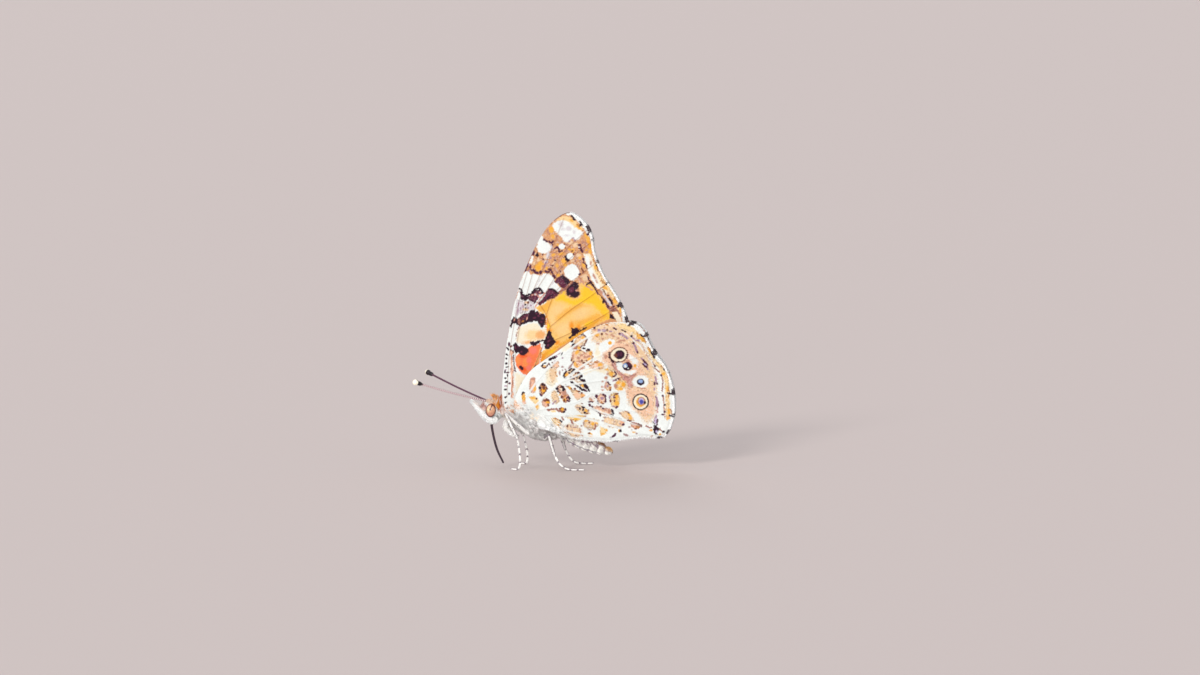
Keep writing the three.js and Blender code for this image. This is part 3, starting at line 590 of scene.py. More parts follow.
    ("dark", 0.07, 0, [(2.3,), (-59,175), (-57,172)]),
    ("brown", 0.12, 0, [(-53,177,2.1,1.6,30), (-53,171,1.3,2.1), (-50,169,1.5,2.6,15)]),
    ("peachTan", 0.19, 0.15, [(3.2,), (-53,168), (-52,152), (-51,130), (-50,104)]),
    ("rosyTan", 0.16, 0, [(-52,160,1.4,4.3), (-53,144,1.4,2.9), (-50,125,1.2,4.3)]),
    ("plum", 0.1, 0, [(2.3,), (-49,164), (-49,155), (-48,149), (-47,141)]),
    ("chalk", 0.09, 0, [(1.7,), (-47,167), (-48,157), (-47,148)]),
    ("dark", 0.07, 0, [(-59,165,2.3,1.5,-30), (-60,159,1.8,1.5,-30), (-60,152,1.8,1.6),
     (-59,147,2.8,1.2,10), (-61,131,1.8,1.5,20), (-59,126,2.4,1.6,15), (-60,115,2.6,1.3), (-58,135,1.1,1.8),
     (-62,140,1.3,2.6), (-60,104,2.3,1.3,30), (-60,96,2.1,1.3,30), (-58,88,1.8,1.3,30)]),
    ("plum", 0.09, 0, [(-58,139,3.2,1,5), (-55,124,2.1,1.5), (-55,109,1.5,2.1,-30)]),
    ("mauve", 0.1, 0, [(-60,120,2,1), (-61,143,1.4,0.9)]),
    ("cream", 0.19, 0, [(53,312), (62,313), (66,302), (72,287), (81,273), (89,260), (85,252), (74,261),
     (65,274), (58,289)]),
    ("chalk", 0.17, 0, [(54,310), (60,310), (62,300), (68,284), (75,270), (78,261), (73,262), (65,274),
     (59,289)]),
    ("honey", 0.2, 0.1, [(66,306), (70,300), (73,290), (82,274), (91,264), (99,249), (107,238),
     (108,226), (102,233), (95,246), (85,261), (75,276), (68,290)]),
    ("amber", 0.17, 0, [(84,263,4.3,2.3,-40), (98,244,4.9,2.6,-50), (70,293,2.3,3.8,10),
     (106,231,1.4,3.5)]),
    ("rosyTan", 0.19, 0, [(68,280,1.7,4.3,30), (72,272,1.2,3.2,30), (63,299,1.4,3.2)]),
    ("ochre", 0.09, 0, [(1.4,), (67,304), (70,299)], [(1.6,), (78,274), (83,270), (86,267)], [(1.6,),
     (97,248), (102,243)]),
    ("ochre", 0.1, 0, [(1.3,), (73,259), (78,263), (84,267)]),
    ("brown", 0.09, 0, [(1.5,), (73,296), (73,288)]),
    ("plum", 0.09, 0, [(2.3,), (52,306), (53,299), (56,296), (58,291)]),
    ("brown", 0.1, 0, [(1.9,), (50,291), (53,286)]),
    ("plum", 0.09, 0, [(2.4,), (59,279), (61,274), (63,271)]),
    ("dark", 0.09, 0, [(2.8,), (57,268), (60,270), (64,270), (67,266), (70,261)]),
    ("plum", 0.09, 0, [(2.1,), (70,261), (74,254)]),
    ("dark", 0.09, 0, [(75,254), (79,251), (84,246), (85,242), (80,241), (80,246)]),
    ("plum", 0.1, 0, [(3.6,), (85,243), (87,239), (89,234)]),
    ("pearl", 0.12, 0, [(3.5,), (78,259), (84,251), (89,243), (92,238)]),
    ("rosyTan", 0.14, 0, [(78,257,2,3.8,30)]),
    ("brown", 0.09, 0, [(1.8,), (81,260), (85,253)]),
    ("plum", 0.07, 0, [(88,252,2.1,1.3,-15)]),
    ("dark", 0.09, 0, [(3.1,), (90,248), (93,244), (94,240)]),
    ("plum", 0.09, 0, [(96,236,2.6,1.4,15)]),
    ("rosyBrown", 0.13, 0.2, [(89,234), (94,236), (100,234), (102,230), (95,228), (91,229)]),
    ("dark", 0.09, 0, [(90,227), (94,225), (98,221), (101,216), (97,218), (91,219)]),
    ("rosyBrown", 0.1, 0, [(1.9,), (101,231), (105,224)]),
    ("cream", 0.14, 0, [(94,228), (101,228), (107,220), (110,209), (101,215), (97,222)]),
    ("dark", 0.07, 0, [(2.8,), (35,368), (40,362)]),
    ("plum", 0.07, 0, [(1.9,), (36,372), (39,369)]),
    ("dark", 0.07, 0, [(46,359), (49,361), (51,359), (50,356), (52,353), (50,353), (46,352), (47,356)]),
    ("plum", 0.07, 0, [(1.9,), (50,362), (53,359)]),
    ("ochre", 0.09, 0, [(1.7,), (43,355), (46,351)]),
    ("plum", 0.09, 0, [(58,348), (60,351), (64,346), (63,344), (65,338), (63,336), (61,340), (58,339),
     (57,341), (60,343), (58,346)]),
    ("dark", 0.07, 0, [(61,343,2.1,1.8)]),
    ("plum", 0.07, 0, [(2.1,), (69,332), (68,326)]),
    ("dark", 0.09, 0, [(67,322,2.3), (70,320,1.6,1.1)]),
    ("plum", 0.07, 0, [(2.4,), (74,302), (75,297)]),
    ("dark", 0.07, 0, [(72,296,2.1,1.6), (86,268,1.8,1.3)]),
    ("plum", 0.09, 0, [(2.9,), (86,276), (90,269)], [(2.9,), (104,251), (106,245), (109,240)]),
    ("dark", 0.09, 0, [(100,237), (104,242), (107,240), (107,235), (102,235)]),
    ("plum", 0.12, 0, [(1.9,), (-19,329), (-11,342), (-1,354), (7,360), (15,365), (23,370), (30,373)]),
]
hindMarks = [
    ("sand", 0.87, 0.15, [(63,209), (78,213), (95,215), (110,210), (124,203), (133,191), (144,174),
     (153,157), (159,136), (160,113), (159,87), (153,72), (144,67), (130,81), (118,96), (115,113), (95,142),
     (84,154), (81,174), (75,183), (66,188)]),
    ("peach", 0.58, 0.12, [(81,171), (89,175), (95,183), (107,186), (121,183), (130,168), (136,151),
     (144,139), (139,133), (124,136), (115,139), (104,151), (92,154), (81,157)], [(115,119), (130,116),
     (147,116), (155,104), (155,84), (144,75), (136,81), (124,90), (117,104)]),
    ("cream", 0.43, 0, [(18,183), (33,190), (34,177), (23,171)]),
    ("cream", 0.43, 0.1, [(-2,142), (8,151), (15,148), (15,128), (8,119), (-1,125)]),
    ("cream", 0.43, 0, [(52,142), (66,149), (86,151), (86,139), (69,144), (55,138)], [(72,181), (79,177),
     (78,160), (70,162)]),
    ("sand", 0.17, 0.3, [(41,190), (46,194), (52,195), (56,194), (58,189), (57,184), (53,180), (49,178),
     (43,178), (39,180), (40,186)]),
    ("rosyTan", 0.23, 0.2, [(40,184), (44,183), (46,178), (44,174), (37,174), (35,178)]),
    ("amber", 0.2, 0, [(53,191,2.8,2.5), (47,176,2.2,2.9)]),
    ("sand", 0.14, 0.3, [(37,171), (43,174), (49,174), (55,172), (62,173), (66,168), (67,164), (66,158),
     (63,154), (59,153), (53,154), (46,151), (41,149), (39,155), (35,158), (36,167)]),
    ("peach", 0.2, 0.2, [(39,157), (49,158), (53,154), (56,149), (53,145), (47,144), (41,148), (39,152)]),
    ("peach", 0.29, 0, [(60,165,4.9,4.3), (52,162,4.3,3.5), (40,166,3.5,4.3)]),
    ("amber", 0.19, 0, [(64,169,2.5,3.8), (62,160,2.9,2.5), (44,170,3.8,2.3,40), (41,153,1.9,3.5),
     (44,150,2.2,1.7)]),
    ("rosyTan", 0.14, 0, [(55,169,3.2,1.4,-30), (51,166,3.5,1.6,30), (60,164,3.8,1.6,20), (46,162,2.6,2.2),
     (50,147,4.1,1.9), (38,164,1.4,3.5), (48,157,2.3,1.6), (55,163,1.7,2.2)]),
    ("mauveTan", 0.12, 0, [(2.2,), (32,146), (36,152), (40,157)]),
    ("mauveTan", 0.14, 0, [(23,149,2,1.3), (27,145,1.6,1.3), (19,140,1.3,3.2), (23,144,1.2)]),
    ("peach", 0.17, 0.2, [(65,154), (69,157), (73,159), (79,157), (84,154), (83,147), (78,145), (69,146),
     (63,147)]),
    ("amber", 0.23, 0, [(78,151,3.8,4.3)]),
    ("ochre", 0.12, 0, [(72,156,3.5,1.7), (63,151,2.3,1.3,35), (46,192,1.7,1.2), (44,152,1,1.7)]),
    ("brown", 0.07, 0.2, [(2,), (54,195), (57,193), (59,189), (57,185), (54,180), (49,178)]),
    ("ochre", 0.09, 0.3, [(1.3,), (61,173), (65,170), (67,164), (66,158), (62,153), (55,153)]),
    ("dark", 0.09, 0, [(2.8,), (32,190), (40,195), (49,201), (55,204)]),
    ("brown", 0.07, 0, [(1.7,), (55,204), (63,209)]),
    ("dark", 0.09, 0, [(3.7,), (4,159), (8,161), (14,164)]),
    ("mauve", 0.09, 0, [(1.3,), (14,164), (20,170)]),
    ("amber", 0.2, 0, [(73,196,3.5,2.9), (120,205,4.1,1.6,-20), (111,211,4.3,1.3)]),
    ("mauve", 0.13, 0, [(83,202,3.2,2.5), (76,202,2.6,2.5), (93,201,2.3,1.3), (84,206,1,0.9)]),
    ("rosyTan", 0.14, 0, [(70,203,1.9,1.3), (87,197,2.3,1.2,-30), (97,194,2.3,1.7), (94,196,2.2,1.2,40),
     (107,187,4.3,1.4,30), (112,188,2.2,1.4), (117,181,2.3,1.3), (95,180,3.5,1.4,40), (86,164,2.3,3.2,-40),
     (75,183,2,1.4), (81,190,2.3,1.7), (104,191,2,1.4)]),
    ("ochre", 0.12, 0, [(73,193,1.9,1,-30), (87,211,2.9,1.2,-30)]),
    ("dark", 0.07, 0, [(72,209,3.2,1.4,12), (69,206,1.9,1.7,30), (79,212,2,1.9), (37,187,2.2,2.8,-15),
     (39,181,2.8,2.2,15), (54,176,2.9,1.4), (61,174,3,1.7,-20), (114,201,2,1.5,-20), (110,203,2,1.3,-20),
     (123,194,2.8,1.9,35), (22,167,1,2.9,-25)], [(2,), (49,198), (50,195), (53,197)]),
    ("plum", 0.07, 0, [(2.2,), (97,206), (101,204)]),
    ("brown", 0.07, 0, [(58,173,1.5), (66,160,1.3,2), (58,158,1.3), (51,158,1.3,2), (54,155,2,1.5),
     (39,156,1.1,2.2,-25), (36,159,1.3,2), (88,203,1.5,1.9), (80,197,1.7,1.9), (76,148,1.5,1.9),
     (49,173,1.5,1.1)]),
    ("sand", 0.12, 0.2, [(25,135), (26,140), (31,144), (36,147), (41,145), (38,140), (33,136), (29,132),
     (26,132)]),
    ("amber", 0.13, 0, [(29,137,2.9)]),
    ("sand", 0.12, 0.2, [(32,131), (37,136), (43,141), (47,141), (51,136), (49,132), (41,129)]),
    ("ochre", 0.12, 0, [(40,135,2.6,2,30), (28,140,2.3,1.2,45)]),
    ("sand", 0.12, 0.2, [(41,128), (49,129), (53,129), (56,123), (60,116), (55,117), (49,121)]),
    ("amber", 0.13, 0, [(52,122,2.3,3.2,15)]),
    ("sand", 0.14, 0.3, [(26,123), (31,122), (37,117), (44,115), (50,110), (56,107), (52,102), (44,100),
     (40,105), (34,115)]),
    ("peach", 0.22, 0, [(44,107,4.6,3.8,-30)]),
    ("amber", 0.12, 0, [(34,118,2.6,2,-30)]),
    ("peachOrange", 0.13, 0, [(52,107,2.8,3.2)]),
    ("peachTan", 0.1, 0.5, [(15,119), (18,123), (23,122), (27,117), (30,111), (34,104), (34,99), (28,96),
     (24,100), (20,107), (16,113)]),
    ("rosyTan", 0.14, 0, [(25,110,2.9,4.1,30)]),
    ("amber", 0.12, 0, [(26,101,2.6), (19,108,1.4)]),
    ("cream", 0.12, 0, [(21,117,2,2.9,20)]),
    ("peach", 0.13, 0.3, [(61,104), (65,107), (69,103), (68,98), (63,97), (61,100)]),
    ("peach", 0.12, 0.3, [(72,107), (78,110), (84,109), (86,103), (86,97), (81,94), (75,96), (73,101)]),
    ("rosyTan", 0.1, 0, [(65,102,1.6,3.2), (74,102,1.4)]),
    ("mauve", 0.13, 0, [(80,103,2.9,2)]),
    ("ochre", 0.09, 0, [(79,97,1.6), (32,121,1.2,1.4), (44,114,1.4,1.2), (50,110,1.4,1.2),
     (26,106,2.6,1.4,20)]),
    ("dark", 0.07, 0, [(3,), (33,144), (36,146)], [(3.7,), (40,145), (37,141)]),
    ("dark", 0.07, 0.2, [(2.8,), (28,142), (26,139), (25,136)]),
    ("dark", 0.07, 0, [(3.7,), (46,140), (49,139), (51,136), (48,133)], [(2.8,), (45,137), (44,134)],
     [(4.1,), (51,130), (54,129)], [(4.8,), (55,126), (56,121), (58,119)], [(3,), (59,119), (61,114)],
     [(2.8,), (35,127), (39,125), (44,121), (49,119)], [(3.3,), (48,119), (51,116), (55,115)]),
    ("plum", 0.07, 0, [(2,), (55,115), (58,114)]),
    ("dark", 0.07, 0, [(2.8,), (22,121), (24,118), (26,116)]),
    ("brown", 0.07, 0, [(2,), (25,103), (26,98)]),
    ("plum", 0.07, 0, [(2.6,), (29,100), (33,99)], [(2.8,), (81,109), (84,107), (85,103)], [(2.8,), (73,98),
     (75,95)], [(2.4,), (61,98), (66,98)]),
    ("dark", 0.07, 0, [(33,140,2,1.5), (27,133,2.4,1.9), (15,117,2.4,2.2), (16,113,1.5,1.7),
     (24,115,1.9,1.7), (33,103,1.7,2.6), (49,124,1.9)]),
    ("plum", 0.07, 0, [(35,133,1.5,2.4), (39,132,2,1.5), (31,105,2,1.5), (72,106,2.2,2.6), (85,99,1.5,3),
     (28,122,2.2,1.5,-30)]),
    ("brown", 0.07, 0, [(45,141,1.5,1.3), (42,140,1.5,1.3), (36,117,1.1,1.7), (41,117,1.7,1.5),
     (47,113,1.9,1.5), (52,104,1.7), (51,111,1.7,1.3), (20,119,1.7,1.3), (22,105,1.7,2.4), (29,103,1.3,1.5),
     (16,120,1.3,1.5), (81,95,1.3), (19,111,1.5)]),
    ("honey", 0.17, 0.3, [(84,146), (89,147), (94,145), (100,145), (102,139), (99,134), (94,132),
     (90,136), (88,141)]),
    ("rosy", 0.35, 0.25, [(94,158), (101,157), (104,148), (110,139), (118,135), (127,140), (131,143),
     (129,136), (124,130), (126,122), (121,117), (114,123), (108,133), (99,144), (95,151)]),
    ("honey", 0.2, 0.2, [(97,123), (101,128), (107,130), (114,129), (116,124), (113,118), (110,115),
     (104,114), (98,117)]),
    ("amber", 0.22, 0, [(94,139,3.2,3.5), (104,126,3.2,2.6), (107,117,3.5,2.3), (88,145,2.3,1.4)]),
    ("orange", 0.23, 0, [(111,123,2.9,4.1,-10)]),
    ("rosyTan", 0.16, 0, [(100,121,2.8,3.5), (86,133,2.8,2.5), (81,128,1.6,1.3), (80,120,1.7,1.4),
     (81,115,2,1.2), (88,139,1.3,1.9)]),
    ("sand", 0.13, 0.2, [(84,125), (88,127), (91,125), (94,120), (93,114), (88,114), (84,118)]),
    ("mauve", 0.12, 0, [(88,121,1.7,2.3), (97,129,2,1.4,40)]),
    ("ochre", 0.09, 0, [(92,118,1.6,2.5), (95,142,1.4,1.7), (106,130,1.7,1.2), (109,134,1,2,20)]),
    ("rosy", 0.1, 0, [(1.9,), (84,119), (85,124), (87,127)]),
    ("honey", 0.14, 0.3, [(92,109), (97,111), (103,111), (106,104), (106,97), (104,91), (99,88),
     (93,91), (91,100)]),
    ("amber", 0.19, 0, [(101,105,2.9,4.9), (101,96,3.8)]),
    ("mauve", 0.1, 0, [(97,105,1.9,1.6), (91,104,1.3,3.2), (97,91,2.5,1.2)]),
    ("brown", 0.07, 0, [(2,), (97,107), (100,109), (103,110)]),
    ("plum", 0.07, 0, [(2.6,), (89,126), (92,123)], [(2.4,), (99,142), (101,139), (99,136)],
     [(100,130,1.9,1.3), (104,132,2.4,1.3), (101,90,1.7,2.6,-35)]),
    ("brown", 0.07, 0, [(97,135,1.9,1.5), (92,115,1.5,1.7), (98,104,1.7,1.5), (92,99,1.7,2),
     (98,99,1.3,1.9)]),
    ("peachTan", 0.13, 0.3, [(-25,130), (-20,134), (-17,132), (-15,125), (-15,116), (-17,111), (-21,111),
     (-25,116), (-25,122)]),
    ("rosyTan", 0.12, 0, [(-19,131,2.6,2.2), (-23,125,1,2.9,-15), (-24,120,1.4,1.6)]),
    ("amber", 0.14, 0, [(-17,117,1.6,4.3), (11,145,2.8)]),
    ("ochre", 0.1, 0.5, [(-11,119), (-9,124), (-5,126), (-1,122), (2,117), (-2,112), (-7,106), (-9,112)]),
    ("orange", 0.17, 0, [(-4,115,2.9,3.2)]),
    ("rosyTan", 0.09, 0, [(-10,114,1,3.2)]),
    ("amber", 0.12, 0.1, [(-36,109), (-34,113), (-31,112), (-30,107), (-30,101), (-30,95), (-34,95),
     (-35,101)]),
    ("peachTan", 0.13, 0, [(-32,98,2.2,2.9)]),
    ("honey", 0.13, 0.1, [(-25,106), (-19,107), (-13,105), (-11,100), (-10,90), (-14,86), (-17,96),
     (-22,101)]),
    ("amber", 0.14, 0, [(-19,104,4.1,1.7), (-14,93,1.7,4.3)]),
    ("peachTan", 0.12, 0.3, [(-7,99), (-3,103), (4,102), (6,98), (4,92), (-2,90), (-6,94)]),
    ("orange", 0.16, 0, [(2,98,2.8,2)]),
    ("sand", 0.23, 0.1, [(4,144), (7,148), (14,147), (15,142), (15,136), (12,128), (7,125), (4,135)]),
    ("peach", 0.14, 0.3, [(7,149), (8,154), (14,158), (18,157), (18,149), (14,146)]),
    ("sand", 0.2, 0.2, [(7,113), (11,116), (15,112), (18,104), (20,99), (15,95), (10,96), (7,104)]),
    ("peach", 0.23, 0.1, [(-48,99), (-46,103), (-41,96), (-37,90), (-41,86), (-48,88)]),
    ("peach", 0.17, 0.2, [(-54,113), (-49,115), (-48,106), (-51,96), (-53,100)]),
    ("dark", 0.07, 0.2, [(2.4,), (-35,109), (-34,112), (-32,112)]),
    ("dark", 0.07, 0, [(2.2,), (-7,150), (-5,153), (-2,154)]),
    ("brown", 0.07, 0, [(2.2,), (-6,148), (-3,147), (1,151), (3,153)], [(2.2,), (-6,101), (-3,104)],
     [(2.6,), (0,102), (4,100)], [(2,), (-1,115), (-3,111)]),
    ("plum", 0.09, 0, [(2.4,), (4,152), (7,148)]),
    ("mauve", 0.09, 0, [(1.6,), (11,156), (14,159)]),
    ("ochre", 0.09, 0, [(1.4,), (13,140), (15,135)]),
    ("plum", 0.07, 0, [(2.2,), (-9,109), (-7,107)]),
    ("dark", 0.07, 0, [(-6,123,1.9,2.2,-30), (-3,122,1.5), (-10,118,1.9,2.2), (-40,131,2,3.2,20),
     (-38,126,1.7,3,10)]),
    ("brown", 0.07, 0, [(-4,118,1.9,2.8), (0,118,1.3,1.7), (-14,103,1.5,1.7), (3,94,1.3,2.4,20),
     (9,154,2,1.7,-30), (-2,100,1.7)]),
    ("mauve", 0.1, 0, [(10,96,1.3,1.7,-30), (13,99,1.3), (23,162,1,1.3)]),
    ("amber", 0.09, 0, [(-3,150,2,1.2,30)]),
    ("ochre", 0.1, 0.4, [(18,88), (22,91), (26,89), (29,87), (28,83), (23,82), (19,85)]),
    ("rosyBrown", 0.1, 0.3, [(3.2,), (3,87), (10,88), (15,88), (20,85)]),
    ("honey", 0.13, 0, [(11,85,3.8,1.4)]),
    ("orange", 0.13, 0, [(23,88,2.6,1.7,-20)]),
    ("honey", 0.13, 0.1, [(8,75), (14,76), (20,73), (22,71), (19,62), (14,63), (10,68)]),
    ("orange", 0.14, 0, [(19,68,2.8,2.9), (15,64,3.8,1.6)]),
    ("honey", 0.12, 0.1, [(24,78), (34,79), (47,79), (56,78), (53,75), (46,71), (39,71), (31,75)]),
    ("gold", 0.16, 0, [(46,75,6.4,2.5,15)]),
    ("ochre", 0.09, 0, [(15,74,3.5,1.2,-25), (39,73,1.3,1), (43,71,1.7,1.2,30)]),
    ("sand", 0.43, 0.2, [(26,64), (34,67), (44,65), (52,59), (53,51), (44,47), (31,51), (26,57)]),
    ("sand", 0.17, 0.3, [(53,70), (57,74), (63,74), (69,73), (75,71), (76,65), (71,59), (65,58), (59,60),
     (54,62)]),
    ("amber", 0.14, 0, [(64,51,4.2,2.8,-25), (58,71,2.9,1.7,20), (73,68,2.2,2), (67,66,2.6,2)]),
    ("honey", 0.13, 0.1, [(78,62), (82,61), (89,58), (87,53), (81,49), (78,50)]),
    ("amber", 0.12, 0, [(87,57,1.7,1.4), (82,52,2.9,1.4)]),
    ("sand", 0.16, 0.2, [(40,92), (49,97), (53,94), (57,88), (60,85), (63,80), (56,79), (49,81), (44,86)]),
    ("amber", 0.12, 0, [(57,85,2.6,2,-30)]),
    ("peach", 0.13, 0.3, [(66,91), (73,92), (82,89), (91,88), (95,84), (94,77), (86,78), (78,79), (72,85),
     (67,87)]),
    ("amber", 0.12, 0, [(80,82,2.6,1.7)]),
    ("rosyTan", 0.12, 0, [(90,84,2.3,3.5), (74,90,2.6,1.3), (56,77,1.4), (84,86,2.9,1.2,-10)]),
    ("sand", 0.26, 0.2, [(82,77), (95,75), (107,72), (113,67), (110,62), (95,60), (82,65)]),
    ("peachTan", 0.09, 0, [(106,70), (111,70), (112,67), (107,65)]),
    ("sand", 0.13, 0.1, [(105,83), (110,84), (115,84), (120,82), (124,77), (127,70), (120,71), (111,74),
     (107,79)]),
    ("amber", 0.14, 0, [(120,79,4.1,1.9,-40), (121,74,2.3,2)]),
    ("peachTan", 0.13, 0.2, [(121,67), (130,66), (136,64), (137,61), (130,58), (123,60)]),
    ("ochre", 0.12, 0, [(132,62,3.5,2.2), (115,84,2.9,1,-10)]),
    ("amber", 0.12, 0, [(126,54,3.2,1.4), (105,56,1.7,2)]),
    ("rosyBrown", 0.09, 0, [(3.3,), (83,80), (87,79)]),
    ("plum", 0.09, 0.1, [(2.4,), (65,91), (66,88), (71,85), (77,80)]),
    ("dark", 0.07, 0, [(3,), (94,86), (96,81)], [(3.3,), (92,79), (95,77)], [(2.6,), (104,74), (108,72)],
     [(2.4,), (20,72), (23,70)]),
    ("rosyBrown", 0.09, 0, [(2.6,), (23,76), (25,73)], [(2.4,), (36,72), (39,67)], [(2.4,), (70,65),
     (72,62), (70,59)], [(2.2,), (102,61), (105,61), (107,59)], [(2.8,), (123,68), (129,67)]),
    ("brown", 0.07, 0, [(2.4,), (117,71), (122,70)], [(2.4,), (132,66), (136,63)]),
    ("dark", 0.07, 0, [(2.2,), (52,88), (53,85)]),
    ("plum", 0.07, 0, [(2.8,), (93,46), (97,49), (100,52)]),
    ("rosyTan", 0.09, 0, [(2.2,), (49,59), (50,54), (52,50)]),
    ("mauveTan", 0.09, 0, [(1.7,), (24,57), (27,59), (31,59)]),
    ("dark", 0.07, 0, [(53,90,2.9,1.7,-15), (48,88,1.5,2.2), (55,82,2.2,1.3), (26,84,2.4,1.7,20),
     (77,78,1.5,1.9), (112,70,2.6,1.2,-15), (107,56,1.9)]),
    ("plum", 0.07, 0, [(111,65,2.2,1.7,30), (28,87,1.3,2), (81,88,1.7,1.5), (78,91,1.3), (62,93,2,2.4,20)]),
    ("brown", 0.09, 0, [(20,89,2,1.3), (20,66,1.9,1.7), (29,78,2.2,1.5), (32,78,1.5), (31,64,1.7,2),
     (61,72,1.7), (62,68,1.3), (62,53,1.5), (58,81,1.5,1.1), (137,63,1.3,1.9), (129,59,1.7,1.1),
     (119,82,1.5,1.3), (51,95,1.7,1.1)]),
    ("mauveTan", 0.12, 0, [(26,63,1,1.6), (36,63,0.9,1.9,20), (42,62,2.8,1), (25,55,1.4,1.6),
     (30,54,1.9,1.3), (38,57,0.9,2.3), (44,50,1.3,1.2), (54,67,1,1.9), (51,64,1,1.4), (63,58,2.5,1),
     (60,85,1.2,1.9), (84,75,2.2,1), (81,70,1.6,1), (86,66,1.3), (98,69,1.3,0.9), (91,62,1.2,1),
     (97,65,1.3,1), (100,75,2.6,0.9,-10), (106,66,1.2,1), (86,88,1.7,1), (45,90,1.6,0.9),
     (106,81,1.3,2.3,40), (120,61,1.9,1.2), (123,57,1.6,1), (115,50,4.1,1.6,-20), (130,52,1.3)]),
    ("chalk", 0.17, 0, [(78,184), (85,188), (92,190), (99,188), (98,182), (92,177), (86,172), (79,170),
     (75,175)], [(101,156), (108,157), (111,151), (113,144), (120,143), (127,145), (131,143), (123,138),
     (111,140), (102,146)]),
    ("chalk", 0.23, 0, [(123,128), (127,133), (133,137), (142,136), (147,132), (147,125), (143,119),
     (133,119), (126,122)]),
    ("chalk", 0.26, 0, [(106,112), (113,115), (114,107), (113,99), (117,91), (124,85), (133,80),
     (136,71), (127,73), (118,85), (107,87), (106,101)]),
    ("chalk", 0.43, 0, [(118,168), (127,164), (133,157), (130,148), (124,154), (121,161)]),
    ("orange", 0.13, 0, [(92,184,3,2.6), (128,151,2.2,2.6)]),
    ("brown", 0.09, 0.3, [(105,167,13.5,11.2,15)]),
    ("cream", 0.09, 0, [(105,167,11.7,9.7,15)]),
    ("dark", 0.07, 0, [(2.4,), (91,170), (91,163), (94,159), (98,156)], [(2,), (102,156), (105,157)]),
    ("plum", 0.07, 0, [(2.4,), (117,167), (116,162)]),
    ("dark", 0.1, 0, [(106,167,7.4,6.7,8)]),
    ("brown", 0.17, 0, [(100,166,2.6,3)]),
    ("plum", 0.1, 0, [(104,168,1.7,2.6,-20), (108,168,1.5,3)]),
    ("rosy", 0.17, 0, [(118,157,2.6,2.3)]),
    ("dark", 0.09, 0, [(117,150,7.1,6.2)]),
    ("plum", 0.13, 0, [(120,153,3.2,2,-25)]),
    ("blueGrey", 0.1, 0, [(114,151,3.2,3.3)]),
    ("chalk", 0.09, 0, [(114,150,1.6,2), (118,147,1.2,1)]),
    ("dark", 0.09, 0, [(136,127,5.7,4.9)]),
    ("blueGrey", 0.1, 0, [(136,128,3.5,2.6)]),
    ("rosyTan", 0.12, 0, [(1.7,), (132,119), (136,117), (142,118)]),
    ("dark", 0.07, 0, [(136,98,12.2)]),
    ("cream", 0.07, 0, [(136,98,10.1,10.3)]),
    ("amber", 0.12, 0, [(136,98,6.7,7.2)]),
    ("ochre", 0.12, 0, [(137,99,5.7,6.1)]),
    ("lilac", 0.1, 0, [(137,99,4.2,4.9)]),
    ("blue", 0.12, 0, [(137,98,2.8,3.5)]),
    ("dark", 0.09, 0, [(142,97,2,2.2)]),
    ("honey", 0.2, 0.1, [(102,212), (113,212), (120,210), (127,206), (136,197), (144,188), (144,183),
     (136,188), (126,198), (117,202), (105,206)]),
    ("honey", 0.23, 0.15, [(144,181), (150,176), (153,170), (156,162), (165,153), (173,144), (177,130),
     (178,109), (179,90), (179,75), (173,70), (172,77), (172,101), (171,125), (165,142), (156,154),
     (149,165)]),
    ("amber", 0.14, 0.1, [(130,199), (136,198), (142,191), (143,186), (138,187), (131,193)]),
    ("chalk", 0.14, 0, [(107,201), (113,199), (123,192), (127,186), (136,178), (144,168), (153,157),
     (160,144), (165,129), (166,107), (167,84), (165,67), (171,61), (176,67), (171,78), (168,107),
     (165,133), (157,148), (147,162), (137,180), (127,188), (117,196)]),
    ("chalk", 0.17, 0, [(160,72), (166,81), (169,72), (169,61), (163,62)]),
    ("amber", 0.17, 0, [(175,117,1.7,4.3), (177,84,2.3,4.9), (176,75,2.6,2.9,-30), (149,173,1.4,4.3,30),
     (169,139,2.9,2.3)]),
    ("mauve", 0.12, 0, [(158,131,1.6,6.1,10), (156,117,1.2,2.5,-20), (138,161,1.6,2.6,40), (146,146,1.3,2),
     (132,188,3.8,1.4,-10), (126,191,2.3,1.2,-20)]),
    ("mauve", 0.14, 0.1, [(3.6,), (106,198), (112,195), (117,191)], [(3.8,), (126,183), (129,178),
     (131,172)]),
    ("mauve", 0.12, 0.1, [(156,108), (160,105), (163,99), (163,93), (161,88), (158,93), (158,101)]),
    ("rosy", 0.12, 0, [(2,), (161,88), (160,83)]),
    ("lilac", 0.09, 0, [(142,153,2.6,3.2,30)]),
    ("plum", 0.07, 0, [(2.4,), (140,159), (143,156), (146,152), (144,149), (142,150), (139,154)]),
    ("plum", 0.09, 0, [(106,198,1.7,1.5), (126,184,1.9,2), (132,171,1.3,1.9), (156,125,1.7,2.6),
     (160,125,1.3,1.7), (162,94,1.1,2.2)]),
    ("rosyTan", 0.1, 0, [(1.6,), (139,182), (141,177), (142,171)], [(1.4,), (144,167), (150,160)]),
    ("rosyBrown", 0.09, 0.2, [(2,), (154,156), (156,152), (157,147), (160,145), (163,141)], [(2.2,),
     (167,135), (168,128), (168,120), (167,114)]),
    ("rosyTan", 0.1, 0.3, [(1.6,), (168,108), (169,102), (170,97), (170,90), (170,84), (171,75)]),
    ("dark", 0.07, 0, [(157,150,1.3,1.5), (171,94,1.7,1.5)]),
    ("plum", 0.07, 0, [(166,137,1.7,2), (168,107,1.5,1.7), (168,80,1.9,1.3,20), (171,84,1.3,1.7,-30)]),
    ("ochre", 0.09, 0, [(1.6,), (131,199), (136,197), (142,191), (144,186)], [(1.6,), (147,178), (151,172)],
     [(1.6,), (165,151), (169,147), (172,144)], [(1.7,), (175,138), (175,134)], [(1.4,), (176,118),
